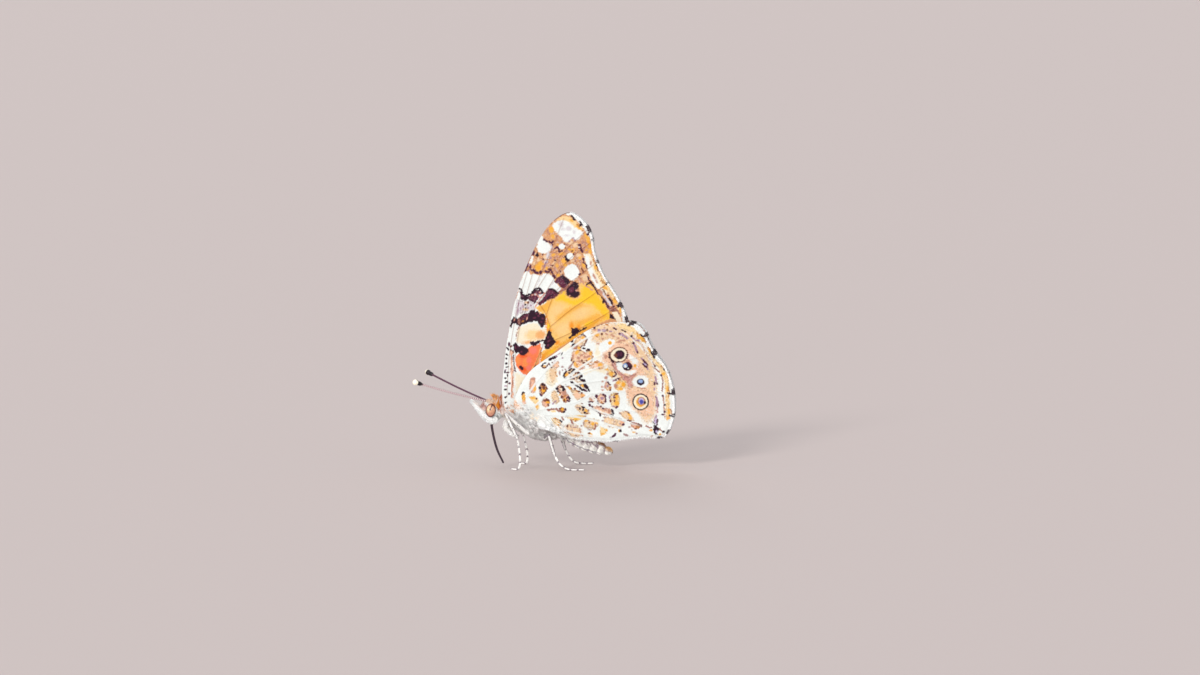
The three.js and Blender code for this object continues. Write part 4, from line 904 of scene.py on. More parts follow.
     (177,112), (177,104)], [(1.4,), (178,89), (180,85), (181,81)]),
    ("dark", 0.07, 0, [(2.2,), (118,209), (121,211), (125,212)], [(2.6,), (137,196), (141,193), (143,195)],
     [(2.8,), (151,171), (153,168), (156,163)], [(2.6,), (154,168), (157,169)], [(2.8,), (169,146),
     (174,142), (176,140)], [(3,), (176,143), (178,140), (181,139)], [(3,), (176,111), (180,110),
     (183,112)], [(3.3,), (178,78), (184,78)]),
    ("lilac", 0.12, 0, [(157,76), (160,74), (160,67), (158,64), (156,70)]),
    ("mauve", 0.1, 0, [(2,), (159,78), (156,72), (155,68)]),
    ("plum", 0.09, 0, [(2.4,), (160,72), (160,65)]),
    ("dark", 0.1, 0, [(153,70), (156,68), (157,65), (159,64), (161,61), (164,60), (162,55), (160,56),
     (160,50), (157,51), (154,56), (154,60), (155,65)]),
    ("lilac", 0.09, 0, [(159,55,1.3,2.3)]),
    ("rosyBrown", 0.09, 0, [(2.2,), (144,63), (148,61), (152,61)]),
    ("rosyBrown", 0.07, 0, [(2.2,), (164,59), (167,56)]),
    ("peachOrange", 0.13, 0, [(151,57,2.5,1.9), (176,76,2)]),
    ("amber", 0.12, 0, [(164,51,2.3,1.4,30)]),
    ("dark", 0.07, 0, [(169,55,2.2,1.7,30), (164,46,2.6,1.5,-30)]),
    ("rosyTan", 0.1, 0, [(152,48,1.9,1.3,20), (169,49,1.7,1.2)]),
]


# How far each wing lies from the middle plane, spread by the body between the roots
wingGap = {
    "fore": 0.65, "foreSpread": 1.1, "hind": 1.8, "hindTail": 1.0, "overAbdomen": 2.4, "overThorax": 2.9,
    "root": (-2.1, 6.7), "rootDip": 1.25, "rootReach": 1.2,
}


def nearThorax(x, z):
    return 1 - smooth(2, 6, segmentDistance(x, z, (-6.6, 9.0), (0.7, 5.5)))


def foreDistance(x, z):
    return wingGap["fore"] + wingGap["foreSpread"] * nearThorax(x, z)


def hindDistance(x, z):
    behindFore = (x + 3) * 0.61 - (z - 9) * 0.79
    distance = wingGap["hind"] - (wingGap["hind"] - wingGap["hindTail"]) * smooth(1, 8, behindFore)
    nearAbdomen = 1 - smooth(1.5, 4.5, segmentDistance(x, z, (1.5, 5.4), (9.2, 2.4)))
    distance += (wingGap["overAbdomen"] - distance) * nearAbdomen
    distance += (np.maximum(distance, wingGap["overThorax"]) - distance) * nearThorax(x, z)
    fromRoot = np.hypot(x - wingGap["root"][0], z - wingGap["root"][1])
    return distance - wingGap["rootDip"] * np.exp(-(fromRoot**2) / (2 * wingGap["rootReach"] ** 2))


# The margin leaves room for the fringe within the outline
spanSteps, edgeSteps = 12, 401
fringeDepth, bareDepth = 0.33, 0.06


def insetOutline(wing):
    path = splineThrough(wing["outline"], True, spanSteps)
    count = len(path)
    tangent = unit(np.roll(path, -1, axis=0) - np.roll(path, 1, axis=0))
    inward = np.stack([tangent[:, 1], -tangent[:, 0]], axis=1)
    depth = np.full(count, bareDepth)
    depth[wing["corners"][1] * spanSteps:wing["corners"][2] * spanSteps + 1] = fringeDepth
    kernel = np.hanning(2 * spanSteps + 1)
    padded = np.concatenate([depth[-spanSteps:], depth, depth[:spanSteps]])
    depth = np.convolve(padded, kernel / kernel.sum(), "valid")
    return path + inward * depth[:, None], inward, depth


def edgeOf(path, start, end):
    if end > start:
        return path[start:end + 1]
    return np.vstack([path[start:], path[:end + 1]])


def wingPlaces(wing, u, v):
    path = insetOutline(wing)[0]
    a, b, c, d = [corner * spanSteps for corner in wing["corners"]]
    lead, outer = resample(edgeOf(path, a, b), edgeSteps), resample(edgeOf(path, b, c), edgeSteps)
    trail, base = [resample(edgeOf(path, *ends)[::-1], edgeSteps) for ends in ((c, d), (d, a))]
    knots = np.linspace(0, 1, edgeSteps)

    def along(edge, t):
        return np.stack([np.interp(t, knots, edge[:, k]) for k in range(2)], axis=1)

    u1, v1 = u[:, None], v[:, None]
    blend = (1 - v1) * along(lead, u) + v1 * along(trail, u)
    blend += (1 - u1) * along(base, v) + u1 * along(outer, v)
    blend -= (1 - u1) * (1 - v1) * lead[0] + u1 * (1 - v1) * lead[-1]
    blend -= (1 - u1) * v1 * trail[0] + u1 * v1 * trail[-1]
    return blend[:, 0], blend[:, 1]


def wingFace(cellsAlong, cellsAcross):
    bpy.ops.mesh.primitive_grid_add(x_subdivisions=cellsAlong, y_subdivisions=cellsAcross, size=1)
    face = bpy.context.object
    places = getPlaces(face.data)
    return face, places[:, 0] + 0.5, places[:, 1] + 0.5


def veinDistances(wing, x, z):
    nearest = np.full(x.shape, 1e3)
    for points in wing["veins"].values():
        nearest = np.minimum(nearest, pathDistance(x, z, splineThrough(points, False, 6)))
    return nearest


def undersideColours(wing, marks, ground, x, z, fromVein):
    colours = np.tile(paint[ground], (len(x), 1)).astype(float)
    paintMarks(x, z, colours, marks)
    paleVein, darkVein = wing["veinLook"]
    inner = 1 - smooth(6, 9.5, x - 5 * smooth(9, 7, z))
    pale = ((1 - smooth(0.09, 0.2, fromVein)) * inner * paleVein)[:, None]
    colours = colours * (1 - pale) + paint["chalk"] * pale
    dark = ((1 - smooth(0.03, 0.1, fromVein)) * darkVein)[:, None]
    colours = colours * (1 - dark) + colours * paint["rosyTan"] * dark
    fine = 1 + (scaleGrain(x, z, 2) - 0.5) * 0.1 + (noise(x, z, 0.9, 9) - 0.5) * 0.05
    return colours * fine[:, None]


# The faces that the closed wings hide
upperGround = (0.83, 0.45, 0.2)
foreUpper = [
    ("dark", 1.2, 0, [(-40,275), (10,240), (40,255), (85,270), (98,260), (80,330), (40,380), (-10,360)]),
    ("umber", 2.5, 0.2, [(-70,70), (-65,180), (-45,170), (-30,120), (0,110), (-20,70)]),
    ("white", 0.5, 0, [(-26,286), (-6,282), (12,268), (4,290), (-10,300), (-22,300)]),
    ("white", 0.35, 0, [(34,286,9,10), (33,310,5), (20,324,4)]),
    ("dark", 0.6, 0, [(15,), (-48,215), (-12,226)], [(13,), (6,202), (36,210)]),
    ("dark", 0.5, 0, [(10,), (92,270), (116,214)]),
]
hindUpper = [
    ("umber", 2.5, 0.2, [(-50,80), (-40,130), (20,150), (60,120), (80,80), (40,40), (-10,50)]),
    ("dark", 0.5, 0, [(9,), (125,206), (156,166), (176,120), (176,75), (165,54)]),
    ("dark", 0.4, 0, [(106,168,8), (118,150,8), (137,127,8), (137,99,9)]),
]

scales = makeMaterial("wingScales", "coat", roughness=0.72, specular=0.22)
addBump(scales, "ShaderNodeTexVoronoi", 0.13, 0.35, 0.03)

wingRelief = {
    "half": 0.2, "pleat": 0.03, "pleatReach": 0.8, "ridge": 0.06, "ridgeWidth": 0.13, "hidden": 0.17,
    "hiddenCells": (110, 80), "rim": 0.15,
}


def rimThinning(x, z, margin):
    fromMargin = pathDistance(x, z, margin)
    return wingRelief["rim"] + (1 - wingRelief["rim"]) * smooth(0, 0.5, fromMargin), fromMargin


def buildWing(name, wing, marks, upper, ground, distanceAt, side):
    margin = insetOutline(wing)[0]
    margin = np.vstack([margin[::3], margin[:1]])
    face, u, v = wingFace(*wing["cells"])
    x, z = wingPlaces(wing, u, v)
    fromVein = veinDistances(wing, x, z)
    thinning, fromMargin = rimThinning(x, z, margin)
    pleat = wingRelief["pleat"] * (1 - np.exp(-fromVein / wingRelief["pleatReach"]))
    ridge = wingRelief["ridge"] * np.exp(-((fromVein / wingRelief["ridgeWidth"]) ** 2))
    half = (wingRelief["half"] - pleat + ridge * smooth(0, 1.2, fromMargin)) * thinning
    setPlaces(face.data, np.stack([x, side * (distanceAt(x, z) + half), z], axis=1))
    setColours(face.data, undersideColours(wing, marks, ground, x, z, fromVein))
    hidden, u, v = wingFace(*wingRelief["hiddenCells"])
    x, z = wingPlaces(wing, u, v)
    half = wingRelief["hidden"] * rimThinning(x, z, margin)[0]
    setPlaces(hidden.data, np.stack([x, side * (distanceAt(x, z) - half), z], axis=1))
    tints = plainTint(upperGround, len(x))
    paintMarks(x, z, tints, upper)
    setColours(hidden.data, tints)
    keepBakeMap(face.data, (0.005, 0.26, 0.995, 0.995))
    keepBakeMap(hidden.data, (0.005, 0.005, 0.995, 0.24))
    (face if side > 0 else hidden).data.flip_normals()
    wingPiece = joinPieces([face, hidden])
    bpy.ops.object.shade_smooth()
    finishPiece(wingPiece, name, scales, [name])


sides = (("left", -1), ("right", 1))
for sideName, side in sides:
    buildWing("forewing_" + sideName, foreWing, foreMarks, foreUpper, "tan", foreDistance, side)
    buildWing("hindwing_" + sideName, hindWing, hindMarks, hindUpper, "chalk", hindDistance, side)
    print("wings", sideName)


# Surfaces are functions of the share along a form and the turn round it
def straightened(rows, perSpan=8):
    path = splineThrough(rows, False, perSpan)
    steps = lengthsAlong(path[:, :2])
    return path, steps / steps[-1]


def closing(share, start, end):
    first = np.sqrt(np.clip(1 - (1 - np.minimum(share / start, 1)) ** 2, 0, 1))
    last = np.sqrt(np.clip(1 - (1 - np.minimum((1 - share) / end, 1)) ** 2, 0, 1))
    return first * last


tubeSteps = 160


def tubeSurface(path, radii, ends):
    spine = resample(splineThrough(path, False, spanSteps), tubeSteps)
    along = unit(np.gradient(spine, axis=0))
    side = np.cross(along, (0, 0, 1.0))
    side[np.linalg.norm(side, axis=1) < 0.05] = (0, 1.0, 0)
    side = unit(side)
    over = np.cross(side, along)
    knots = np.linspace(0, 1, tubeSteps)
    sizes = np.interp(knots, np.linspace(0, 1, len(radii)), radii)

    def surface(share, angle):
        centre, across, up = [
            np.stack([np.interp(share, knots, rows[:, k]) for k in range(3)], axis=1)
            for rows in (spine, side, over)
        ]
        size = (np.interp(share, knots, sizes) * closing(share, ends, ends))[:, None]
        return centre + size * (np.cos(angle)[:, None] * across + np.sin(angle)[:, None] * up)

    return surface


def surfaceFrame(surface, share, angle):
    step = 2e-3
    place = surface(share, angle)
    along = surface(np.minimum(share + step, 1), angle) - surface(np.maximum(share - step, 0), angle)
    around = surface(share, angle + step) - surface(share, angle - step)
    normal = np.cross(around, along)
    inner = (surface(share, angle + math.pi) + place) / 2
    normal *= np.sign(np.sum(normal * (place - inner), axis=1))[:, None]
    return place, unit(normal), unit(along)


def wrapSphere(surface, segments, rings, patch=(0, 0, 1, 1)):
    bpy.ops.mesh.primitive_uv_sphere_add(segments=segments, ring_count=rings)
    piece = bpy.context.object
    mesh = piece.data
    uv = keepBakeMap(mesh, patch)
    corner = np.empty(len(mesh.loops), np.int32)
    mesh.loops.foreach_get("vertex_index", corner)
    share, turn = np.zeros(len(mesh.vertices)), np.zeros(len(mesh.vertices))
    share[corner] = uv[:, 1]
    turn[corner] = uv[:, 0]
    turn *= fullTurn
    setPlaces(mesh, surface(share, turn))
    bpy.ops.object.mode_set(mode="EDIT")
    bpy.ops.mesh.select_all(action="SELECT")
    bpy.ops.mesh.normals_make_consistent(inside=False)
    bpy.ops.object.mode_set(mode="OBJECT")
    bpy.ops.object.shade_smooth()
    return piece, share, turn


# Each hair is a thin, tapered, bent blade on three rings of three corners, with a closed root and one tip
bladeCorners, batch = 10, 2000
bladeSteps, bladeBulge, rootSink, bladeRidge = (0, 0.35, 0.7), (0, 0.28, 0.2), 0.05, 0.5
hairPatch = 0.003


def growHairs(
    name, roots, normals, combs, sizes, tints, bake, clumps=0, gather=0.5, taper=(0.9, 0.95, 0.62)
):
    count = len(roots)
    length, height, width = sizes
    combs = unit(combs - normals * np.sum(combs * normals, axis=1)[:, None] * 0.9)
    tips = roots + combs * length[:, None] + normals * height[:, None]
    if clumps:
        heads = rng.choice(count, clumps, replace=False)
        nearest = np.empty(count, int)
        for start in range(0, count, batch):
            gaps = np.linalg.norm(roots[start:start + batch, None] - roots[None, heads], axis=2)
            nearest[start:start + batch] = heads[np.argmin(gaps, axis=1)]
        tips = tips * (1 - gather) + tips[nearest] * gather
        tints = tints * (0.92 + 0.16 * rng.random(count))[nearest, None]
    across = unit(np.cross(normals, combs))
    places = np.empty((count, bladeCorners, 3))
    for i, (t, bulge, size) in enumerate(zip(bladeSteps, bladeBulge, taper)):
        rise = height[:, None] * bulge - (rootSink if i == 0 else 0)
        middle = roots + (tips - roots) * t + normals * rise
        half = (width * size / 2)[:, None]
        places[:, i * 3] = middle - across * half
        places[:, i * 3 + 1] = middle + across * half
        places[:, i * 3 + 2] = middle + normals * half * bladeRidge
    places[:, 9] = tips
    faces = [(0, 2, 1)]
    for low in (0, 3):
        for a, b in ((0, 1), (1, 2), (2, 0)):
            faces += [(low + a, low + b + 3, low + a + 3), (low + a, low + b, low + b + 3)]
    faces += [(6, 7, 9), (7, 8, 9), (8, 6, 9)]
    faces = np.array(faces)
    corners = (np.arange(count)[:, None, None] * bladeCorners + faces[None]).reshape(-1)
    mesh = bpy.data.meshes.new(name)
    mesh.vertices.add(count * bladeCorners)
    mesh.loops.add(len(corners))
    mesh.polygons.add(count * len(faces))
    mesh.loops.foreach_set("vertex_index", corners.astype(np.int32))
    mesh.polygons.foreach_set("loop_start", np.arange(0, len(corners), 3, dtype=np.int32))
    mesh.polygons.foreach_set("loop_total", np.full(count * len(faces), 3, np.int32))
    mesh.update(calc_edges=True)
    setPlaces(mesh, places.reshape(-1, 3))
    # The root ring of each hair is darker as painted shade where the hairs leave the surface, and each hair
    # also gets a random tone
    rootShadeAndTone = np.ones((count, bladeCorners, 3))
    rootShadeAndTone[:, :3] = 0.94
    rootShadeAndTone *= (0.9 + 0.2 * rng.random(count))[:, None, None]
    setColours(mesh, (tints[:, None] * rootShadeAndTone).reshape(-1, 3))
    spread = np.array([(a, b) for b in (0, 0.33, 0.67) for a in (0, 1, 0.5)] + [(0.5, 1)]) - 0.5
    layer = mesh.uv_layers.new(name="OFBake")
    patches = (bake[:, None] + spread[None] * hairPatch).reshape(-1, 2)
    layer.data.foreach_set("uv", np.clip(patches[corners], 0, 1).astype(np.float32).ravel())
    piece = bpy.data.objects.new(name, mesh)
    bpy.context.collection.objects.link(piece)
    return piece


def randomSizes(count, length, height, width):
    lengths = length * (0.75 + 0.4 * rng.random(count))
    heights = height * (0.55 + 0.5 * rng.random(count))
    return lengths, heights, width * (0.7 + 0.5 * rng.random(count))


def spreadPlaces(count, low, high):
    return low + (high - low) * rng.random(count), fullTurn * rng.random(count)


# Body skin from the face to the tip of the abdomen. Each station has its place, its half width,
# and its reach above and below.
headStations = [
    (-9.55, 8.75, 0.35, 0.35, 0.35), (-9.25, 8.75, 0.75, 0.85, 0.75), (-8.7, 8.65, 1.0, 1.25, 1.1),
    (-8.1, 8.5, 1.1, 1.4, 1.25), (-7.5, 8.4, 1.0, 1.2, 1.1), (-7.1, 8.35, 0.75, 0.8, 0.8),
]
thoraxStations = [
    (-6.75, 8.6, 0.8, 1.75, 0.9), (-6.3, 8.7, 1.35, 1.95, 1.35), (-5.4, 8.45, 1.85, 1.85, 1.95),
    (-4.3, 8.0, 2.05, 2.15, 2.3), (-3.1, 7.5, 2.1, 2.2, 2.5), (-1.9, 6.95, 2.05, 2.0, 2.6),
    (-0.8, 6.4, 1.85, 1.65, 2.4), (0.2, 5.9, 1.45, 1.25, 1.9), (0.8, 5.6, 1.0, 0.95, 1.15),
]
abdomenSpine = [(1.08, 5.45), (2.8, 5.2), (4.2, 4.55), (5.8, 3.7), (7.4, 2.95), (8.6, 2.55), (9.25, 2.35)]
abdomenHalf = [0.95, 1.3, 1.48, 1.5, 1.4, 1.2, 0.95, 0.62]
abdomenEnd = {"last": 0.3, "tip": (9.22, 2.36, 0.26, 0.26, 0.26)}
coatDepth = {"head": 0.16, "thorax": 0.42, "abdomen": 0.1}


def ringRows(stations, depth):
    rows = []
    for i, (x, z, half, above, below) in enumerate(stations):
        before, after = stations[max(i - 1, 0)], stations[min(i + 1, len(stations) - 1)]
        slope = math.atan2(after[1] - before[1], after[0] - before[0])
        rows.append((x, z, half - depth, above - depth, below - depth, slope))
    return rows


def abdomenStations():
    spine = resample(splineThrough(abdomenSpine, False, 20), edgeSteps)
    stations = []
    for i, half in enumerate(abdomenHalf):
        after = min((abdomenHalf + [abdomenEnd["last"]])[i + 1], half)
        for share, size in ((0.1, half * 0.97), (0.45, half * 0.97), (0.85, half * 0.4 + after * 0.6)):
            x, z = spine[int((i + share) / len(abdomenHalf) * (edgeSteps - 1))]
            stations.append((x, z, size, size * 0.97, size))
    return stations + [abdomenEnd["tip"]]


# The neck and the waist join the stations, and each row ends with its slope
bodyRows = ringRows(headStations, coatDepth["head"])[:-1]
bodyRows += [(-7.05, 8.38, 0.58, 0.62, 0.6, 0.05)]
bodyRows += [(-6.7, 8.6, 0.8, 1.15, 0.75, 0.0), (-6.3, 8.65, 1.15, 1.35, 1.05, -0.05)]
bodyRows += ringRows(thoraxStations, coatDepth["thorax"])[2:-1]
bodyRows += [(0.85, 5.55, 0.72, 0.7, 0.8, -0.3)]
bodyRows += ringRows(abdomenStations(), coatDepth["abdomen"])[1:]
bodyPath, bodyShare = straightened(bodyRows)


def bodySurface(share, angle):
    x, z, half, above, below, slope = [np.interp(share, bodyShare, bodyPath[:, k]) for k in range(6)]
    closed = closing(share, 0.02, 0.015)
    high = np.sin(angle) * np.where(np.sin(angle) > 0, above, below) * closed
    across = np.cos(angle) * half * closed
    return np.stack([x - high * np.sin(slope), across, z + high * np.cos(slope)], axis=1)


def shareAt(x):
    return float(np.interp(x, bodyPath[:, 0], bodyShare))


headEnd, neckEnd, waist = shareAt(-7.15), shareAt(-6.6), shareAt(0.9)


def bodyColours(places, share, angle):
    x, y, z = places.T
    up = np.sin(angle)
    colours = plainTint((0.97, 0.965, 0.95), len(x))

    def blend(cover, tint):
        blendTint(colours, cover, tint)

    streak = noise(x * 0.35 + z * 0.5, z - x * 0.4, 0.4, 21)
    blend(smooth(0.55, 0.85, streak) * 0.45, (0.84, 0.78, 0.78))
    blend(smooth(0.62, 0.8, noise(x * 0.4 + z * 0.7, z - x * 0.5, 0.25, 20)) * 0.25, (0.7, 0.62, 0.63))
    onThorax = smooth(neckEnd - 0.01, neckEnd + 0.02, share)
    onThorax *= 1 - smooth(waist - 0.02, waist + 0.01, share)
    blend(onThorax * smooth(0.55, 0.85, up), (0.66, 0.46, 0.27))
    behindEye = x + 7.67 + (z - 9.43) * 0.42
    collar = smooth(0, 0.12, behindEye) * (1 - smooth(neckEnd + 0.01, neckEnd + 0.04, share))
    blend(collar * 0.8, (0.97, 0.87, 0.83))
    blend(collar * smooth(8.7, 8.3, z) * 0.8, (0.98, 0.96, 0.9))
    blend(collar * smooth(8.35, 8.7, z) * (1 - smooth(0.32, 0.5, behindEye)), (0.78, 0.42, 0.3))
    blend(collar * smooth(8.3, 8.6, z) * (1 - smooth(0.06, 0.16, behindEye)), (0.42, 0.15, 0.14))
    crest = smooth(0.45, 0.7, up) * smooth(-8.15, -7.95, x)
    crest *= 1 - smooth(neckEnd - 0.005, neckEnd + 0.01, share)
    blend(crest, (0.97, 0.63, 0.2))
    blend(crest * smooth(-7.2, -6.95, x), (0.78, 0.33, 0.1))
    tegula = 1 - smooth(0.7, 1.1, np.hypot((x + 6.1) / 0.3, (z - 9.2) / 0.5))
    blend(tegula * smooth(-0.2, 0.1, up), (0.96, 0.62, 0.24))
    blend(tegula * smooth(9.0, 8.8, z), (0.75, 0.33, 0.12))
    onHead = 1 - smooth(-0.05, 0.08, behindEye)
    snout = onHead * smooth(-8.75, -9.1, x)
    crown = smooth(9.2, 9.45, z) * onHead
    blend(onHead * (1 - crest), (0.99, 1.0, 0.985))
    blend(crown * (1 - crest), (0.98, 0.85, 0.74))
    blend(snout * smooth(8.0, 8.5, z), (0.9, 0.7, 0.64))
    blend(snout * smooth(0.55, 0.75, noise(x, z + y, 0.2, 25)), (0.66, 0.42, 0.4))
    blend(crown * smooth(0.6, 0.8, noise(x, z + y, 0.25, 23)) * 0.5, (0.8, 0.55, 0.42))
    onAbdomen = smooth(waist, waist + 0.03, share)
    blend(onAbdomen, (0.99, 0.98, 0.95))
    ring = (share - waist) / (1 - waist) * len(abdomenHalf)
    inRing = ring - np.floor(ring)
    strokes = smooth(0.5, 0.62, noise(x * 2.2 + z * 1.2, z * 0.8 - x * 0.4, 0.34, 24))
    blend(onAbdomen * smooth(-0.45, 0.05, up) * strokes * 0.8, (0.56, 0.42, 0.5))
    sectionEnd = smooth(0.72, 0.84, inRing) * (1 - smooth(0.95, 1, inRing))
    blend(onAbdomen * sectionEnd * smooth(0.4, 0.55, noise(x, z + y, 0.22, 26)) * 0.7, (0.55, 0.42, 0.5))
    upperSide = onAbdomen * smooth(0.55, 0.85, up)
    blend(upperSide, (0.62, 0.46, 0.33))
    blend(upperSide * smooth(0.75, 0.95, inRing), (0.88, 0.74, 0.56))
    line = np.exp(-(((up + 0.74) / 0.07) ** 2)) * 0.85
    blend(onAbdomen * line * (1 - smooth(0.9, 0.95, share)), (0.4, 0.3, 0.46))
    tip = smooth(0.92, 0.97, share)
    blend(tip * smooth(-0.2, 0.5, up) * 0.8, (0.97, 0.76, 0.42))
    blend(tip * strokes * smooth(0, 0.4, up) * 0.4, (0.6, 0.36, 0.24))
    return colours


fur = makeMaterial("fur", "coat", roughness=0.65, specular=0.25)
furShader = fur.node_tree.nodes["Principled BSDF"]
furShader.inputs["Sheen Weight"].default_value = 0.35
furShader.inputs["Sheen Roughness"].default_value = 0.4
skinLook = makeMaterial("skin", "coat", roughness=0.75, specular=0.2)
addBump(skinLook, "ShaderNodeTexNoise", 0.12, 0.4, 0.04)

# The skin colours are scaled down as painted shade in the gaps under the hair coat
bodyCells, paintedShadeUnderHair = (88, 230), 0.85
body, share, angle = wrapSphere(bodySurface, *bodyCells)
setColours(body.data, bodyColours(bodySurface(share, angle), share, angle) * paintedShadeUnderHair)
finishPiece(body, "body_skin", skinLook, ["head", "thorax", "abdomen"])
print("body skin")

# Coat of the body. Each part has its span along the body and the turns round it, the length, height and
# width of its hairs, and how far they are combed backwards and upwards.
eyeClear = {"centre": (-8.24, 8.4), "half": (0.74, 0.99), "inside": 0.45}


def bodyHairs(name, coat):
    count, (low, high), (start, end) = coat["count"], coat["span"], coat["turns"]
    share = low + (high - low) * rng.random(count)
    angle = start + (end - start) * rng.random(count)
    roots, normals, along = surfaceFrame(bodySurface, share, angle)
    x, y, z = roots.T
    (eyeX, eyeZ), (halfX, halfZ) = eyeClear["centre"], eyeClear["half"]
    fromEye = np.hypot((x - eyeX) / halfX, (z - eyeZ) / halfZ)
    keep = (fromEye > 1) | (np.abs(y) < eyeClear["inside"])
    if "within" in coat:
        keep &= coat["within"](x, z)
    share, angle, roots, normals, along = [rows[keep] for rows in (share, angle, roots, normals, along)]
    backwards, upwards = coat["comb"]
    combs = along * backwards + np.array((0, 0, 1.0)) * upwards
    combs += rng.normal(0, 0.13, combs.shape)
    tints = bodyColours(roots, share, angle)
    bake = np.stack([(angle / fullTurn) % 1, share], axis=1)
    sizes = randomSizes(len(roots), *coat["size"])
    piece = growHairs(name, roots, normals, combs, sizes, tints, bake, coat["clumps"], coat["gather"])
    finishPiece(piece, name, fur, [])


quarter = fullTurn / 4
around = (0, fullTurn)
sideCoats = {
    "thorax_hair": {
        "count": 8200, "span": (neckEnd, waist + 0.01), "size": (1.9, 0.34, 0.07),
        "comb": (1, -0.45), "clumps": 420, "gather": 0.5,
    },
    "abdomen_hair": {
        "slot": "abdomen", "count": 4600, "span": (waist - 0.01, 0.996), "size": (0.55, 0.08, 0.09),
        "comb": (1, -0.1), "clumps": 600, "gather": 0.3,
    },
}
for sideName, turns in (("left", (quarter, 3 * quarter)), ("right", (-quarter, quarter))):
    for name, coat in sideCoats.items():
        bodyHairs(name + "_" + sideName, {**coat, "turns": turns})

coats = {
    "tip_hair": {
        "slot": "abdomen", "count": 700, "span": (0.95, 0.998), "size": (0.4, 0.16, 0.07),
        "comb": (1, 0.1), "clumps": 70, "gather": 0.4,
    },
    "collar_hair": {
        "count": 3200, "span": (headEnd - 0.05, neckEnd + 0.02), "size": (1.25, 0.5, 0.06),
        "comb": (0.1, 1.0), "clumps": 110, "gather": 0.6,
        "within": lambda x, z: (z > 8.9 + 0.35 * rng.random(len(x))) & (x > -7.9),
    },
    "neck_hair": {
        "count": 2800, "span": (headEnd - 0.01, neckEnd + 0.03), "size": (1.0, 0.3, 0.055),
        "comb": (0.5, -0.8), "clumps": 120, "gather": 0.5, "within": lambda x, z: z < 9.3,
    },
    "cheek_hair": {
        "count": 3400, "span": (0.01, headEnd), "size": (0.5, 0.14, 0.05),
        "comb": (-0.3, -1.0), "clumps": 0, "gather": 0.5, "within": lambda x, z: (x > -8.4) & (z < 9.5),
    },
    "crown_hair": {
        "count": 1500, "span": (0.01, headEnd), "size": (0.42, 0.24, 0.045),
        "comb": (0.4, 0.5), "clumps": 90, "gather": 0.4, "within": lambda x, z: z > 9.2,
    },
    "face_hair": {
        "count": 2600, "span": (0.001, shareAt(-8.5)), "size": (0.5, 0.26, 0.045),
        "comb": (-0.8, 0.5), "clumps": 140, "gather": 0.45,
    },
}
for name, coat in coats.items():
    bodyHairs(name, {**coat, "turns": around})
print("coat of the body")

# Eyes, tinted amber with a dark rim, a dark false pupil and a painted highlight
eye = {
    "centre": (-8.26, 1.05, 8.38), "half": (0.73, 0.47, 1.0), "tilt": 0.12, "cells": (64, 48),
    "rim": ((-8.24, 8.4), (0.72, 0.97)), "shade": 0.75,
}
eyeGlass = makeMaterial("eyeFacets", "coat", roughness=0.28, specular=0.5)
addBump(eyeGlass, "ShaderNodeTexVoronoi", 0.045, 0.25, 0.01)


def eyeSurface(side):
    def surface(share, angle):
        slant = math.pi * share
        x = np.sin(slant) * np.cos(angle) * eye["half"][0]
        z = np.sin(slant) * np.sin(angle) * eye["half"][2]
        y = -np.cos(slant) * eye["half"][1]
        c, s = math.cos(eye["tilt"]), math.sin(eye["tilt"])
        places = np.stack([x * c + z * s, y, -x * s + z * c], axis=1)
        return places + np.array((eye["centre"][0], side * eye["centre"][1], eye["centre"][2]))

    return surface


def eyeColours(x, z):
    (rimX, rimZ), (rimHalfX, rimHalfZ) = eye["rim"]
    fromRim = np.hypot((x - rimX) / rimHalfX, (z - rimZ) / rimHalfZ)
    pupil = segmentDistance(x, z, (-8.24, 8.6), (-8.05, 9.15))
    tints = plainTint((0.93, 0.7, 0.54), len(x))
    blendTint(tints, smooth(8.6, 7.7, z) * 0.8, (0.82, 0.56, 0.48))
    # Painted highlight: a pale yellow patch towards the front of the eye
    blendTint(tints, smooth(0.1, 0.8, 1 - np.hypot((x + 8.58) / 0.3, (z - 8.6) / 0.75)), (1.0, 0.93, 0.74))
    blendTint(tints, smooth(0.5, 0.75, noise(x, z, 0.14, 31)) * 0.3, (0.62, 0.36, 0.26))
    blendTint(tints, smooth(0.78, 0.93, fromRim), (0.47, 0.2, 0.19))
    blendTint(tints, smooth(0.05, -0.05, np.hypot(x + 8.27, z - 8.52) - 0.12), (0.12, 0.04, 0.06))
    blendTint(tints, smooth(0.05, -0.03, pupil - 0.06), (0.25, 0.09, 0.1))
    blendTint(tints, smooth(0.06, -0.04, np.hypot(x + 8.04, z - 9.12) - 0.1), (0.15, 0.05, 0.07))
    return tints * eye["shade"]


for sideName, side in sides:
    ball, share, angle = wrapSphere(eyeSurface(side), *eye["cells"])
    x, y, z = eyeSurface(side)(share, angle).T
    setColours(ball.data, eyeColours(x, z))
    finishPiece(ball, "eye_" + sideName, eyeGlass, ["eye_" + sideName])
print("eyes")

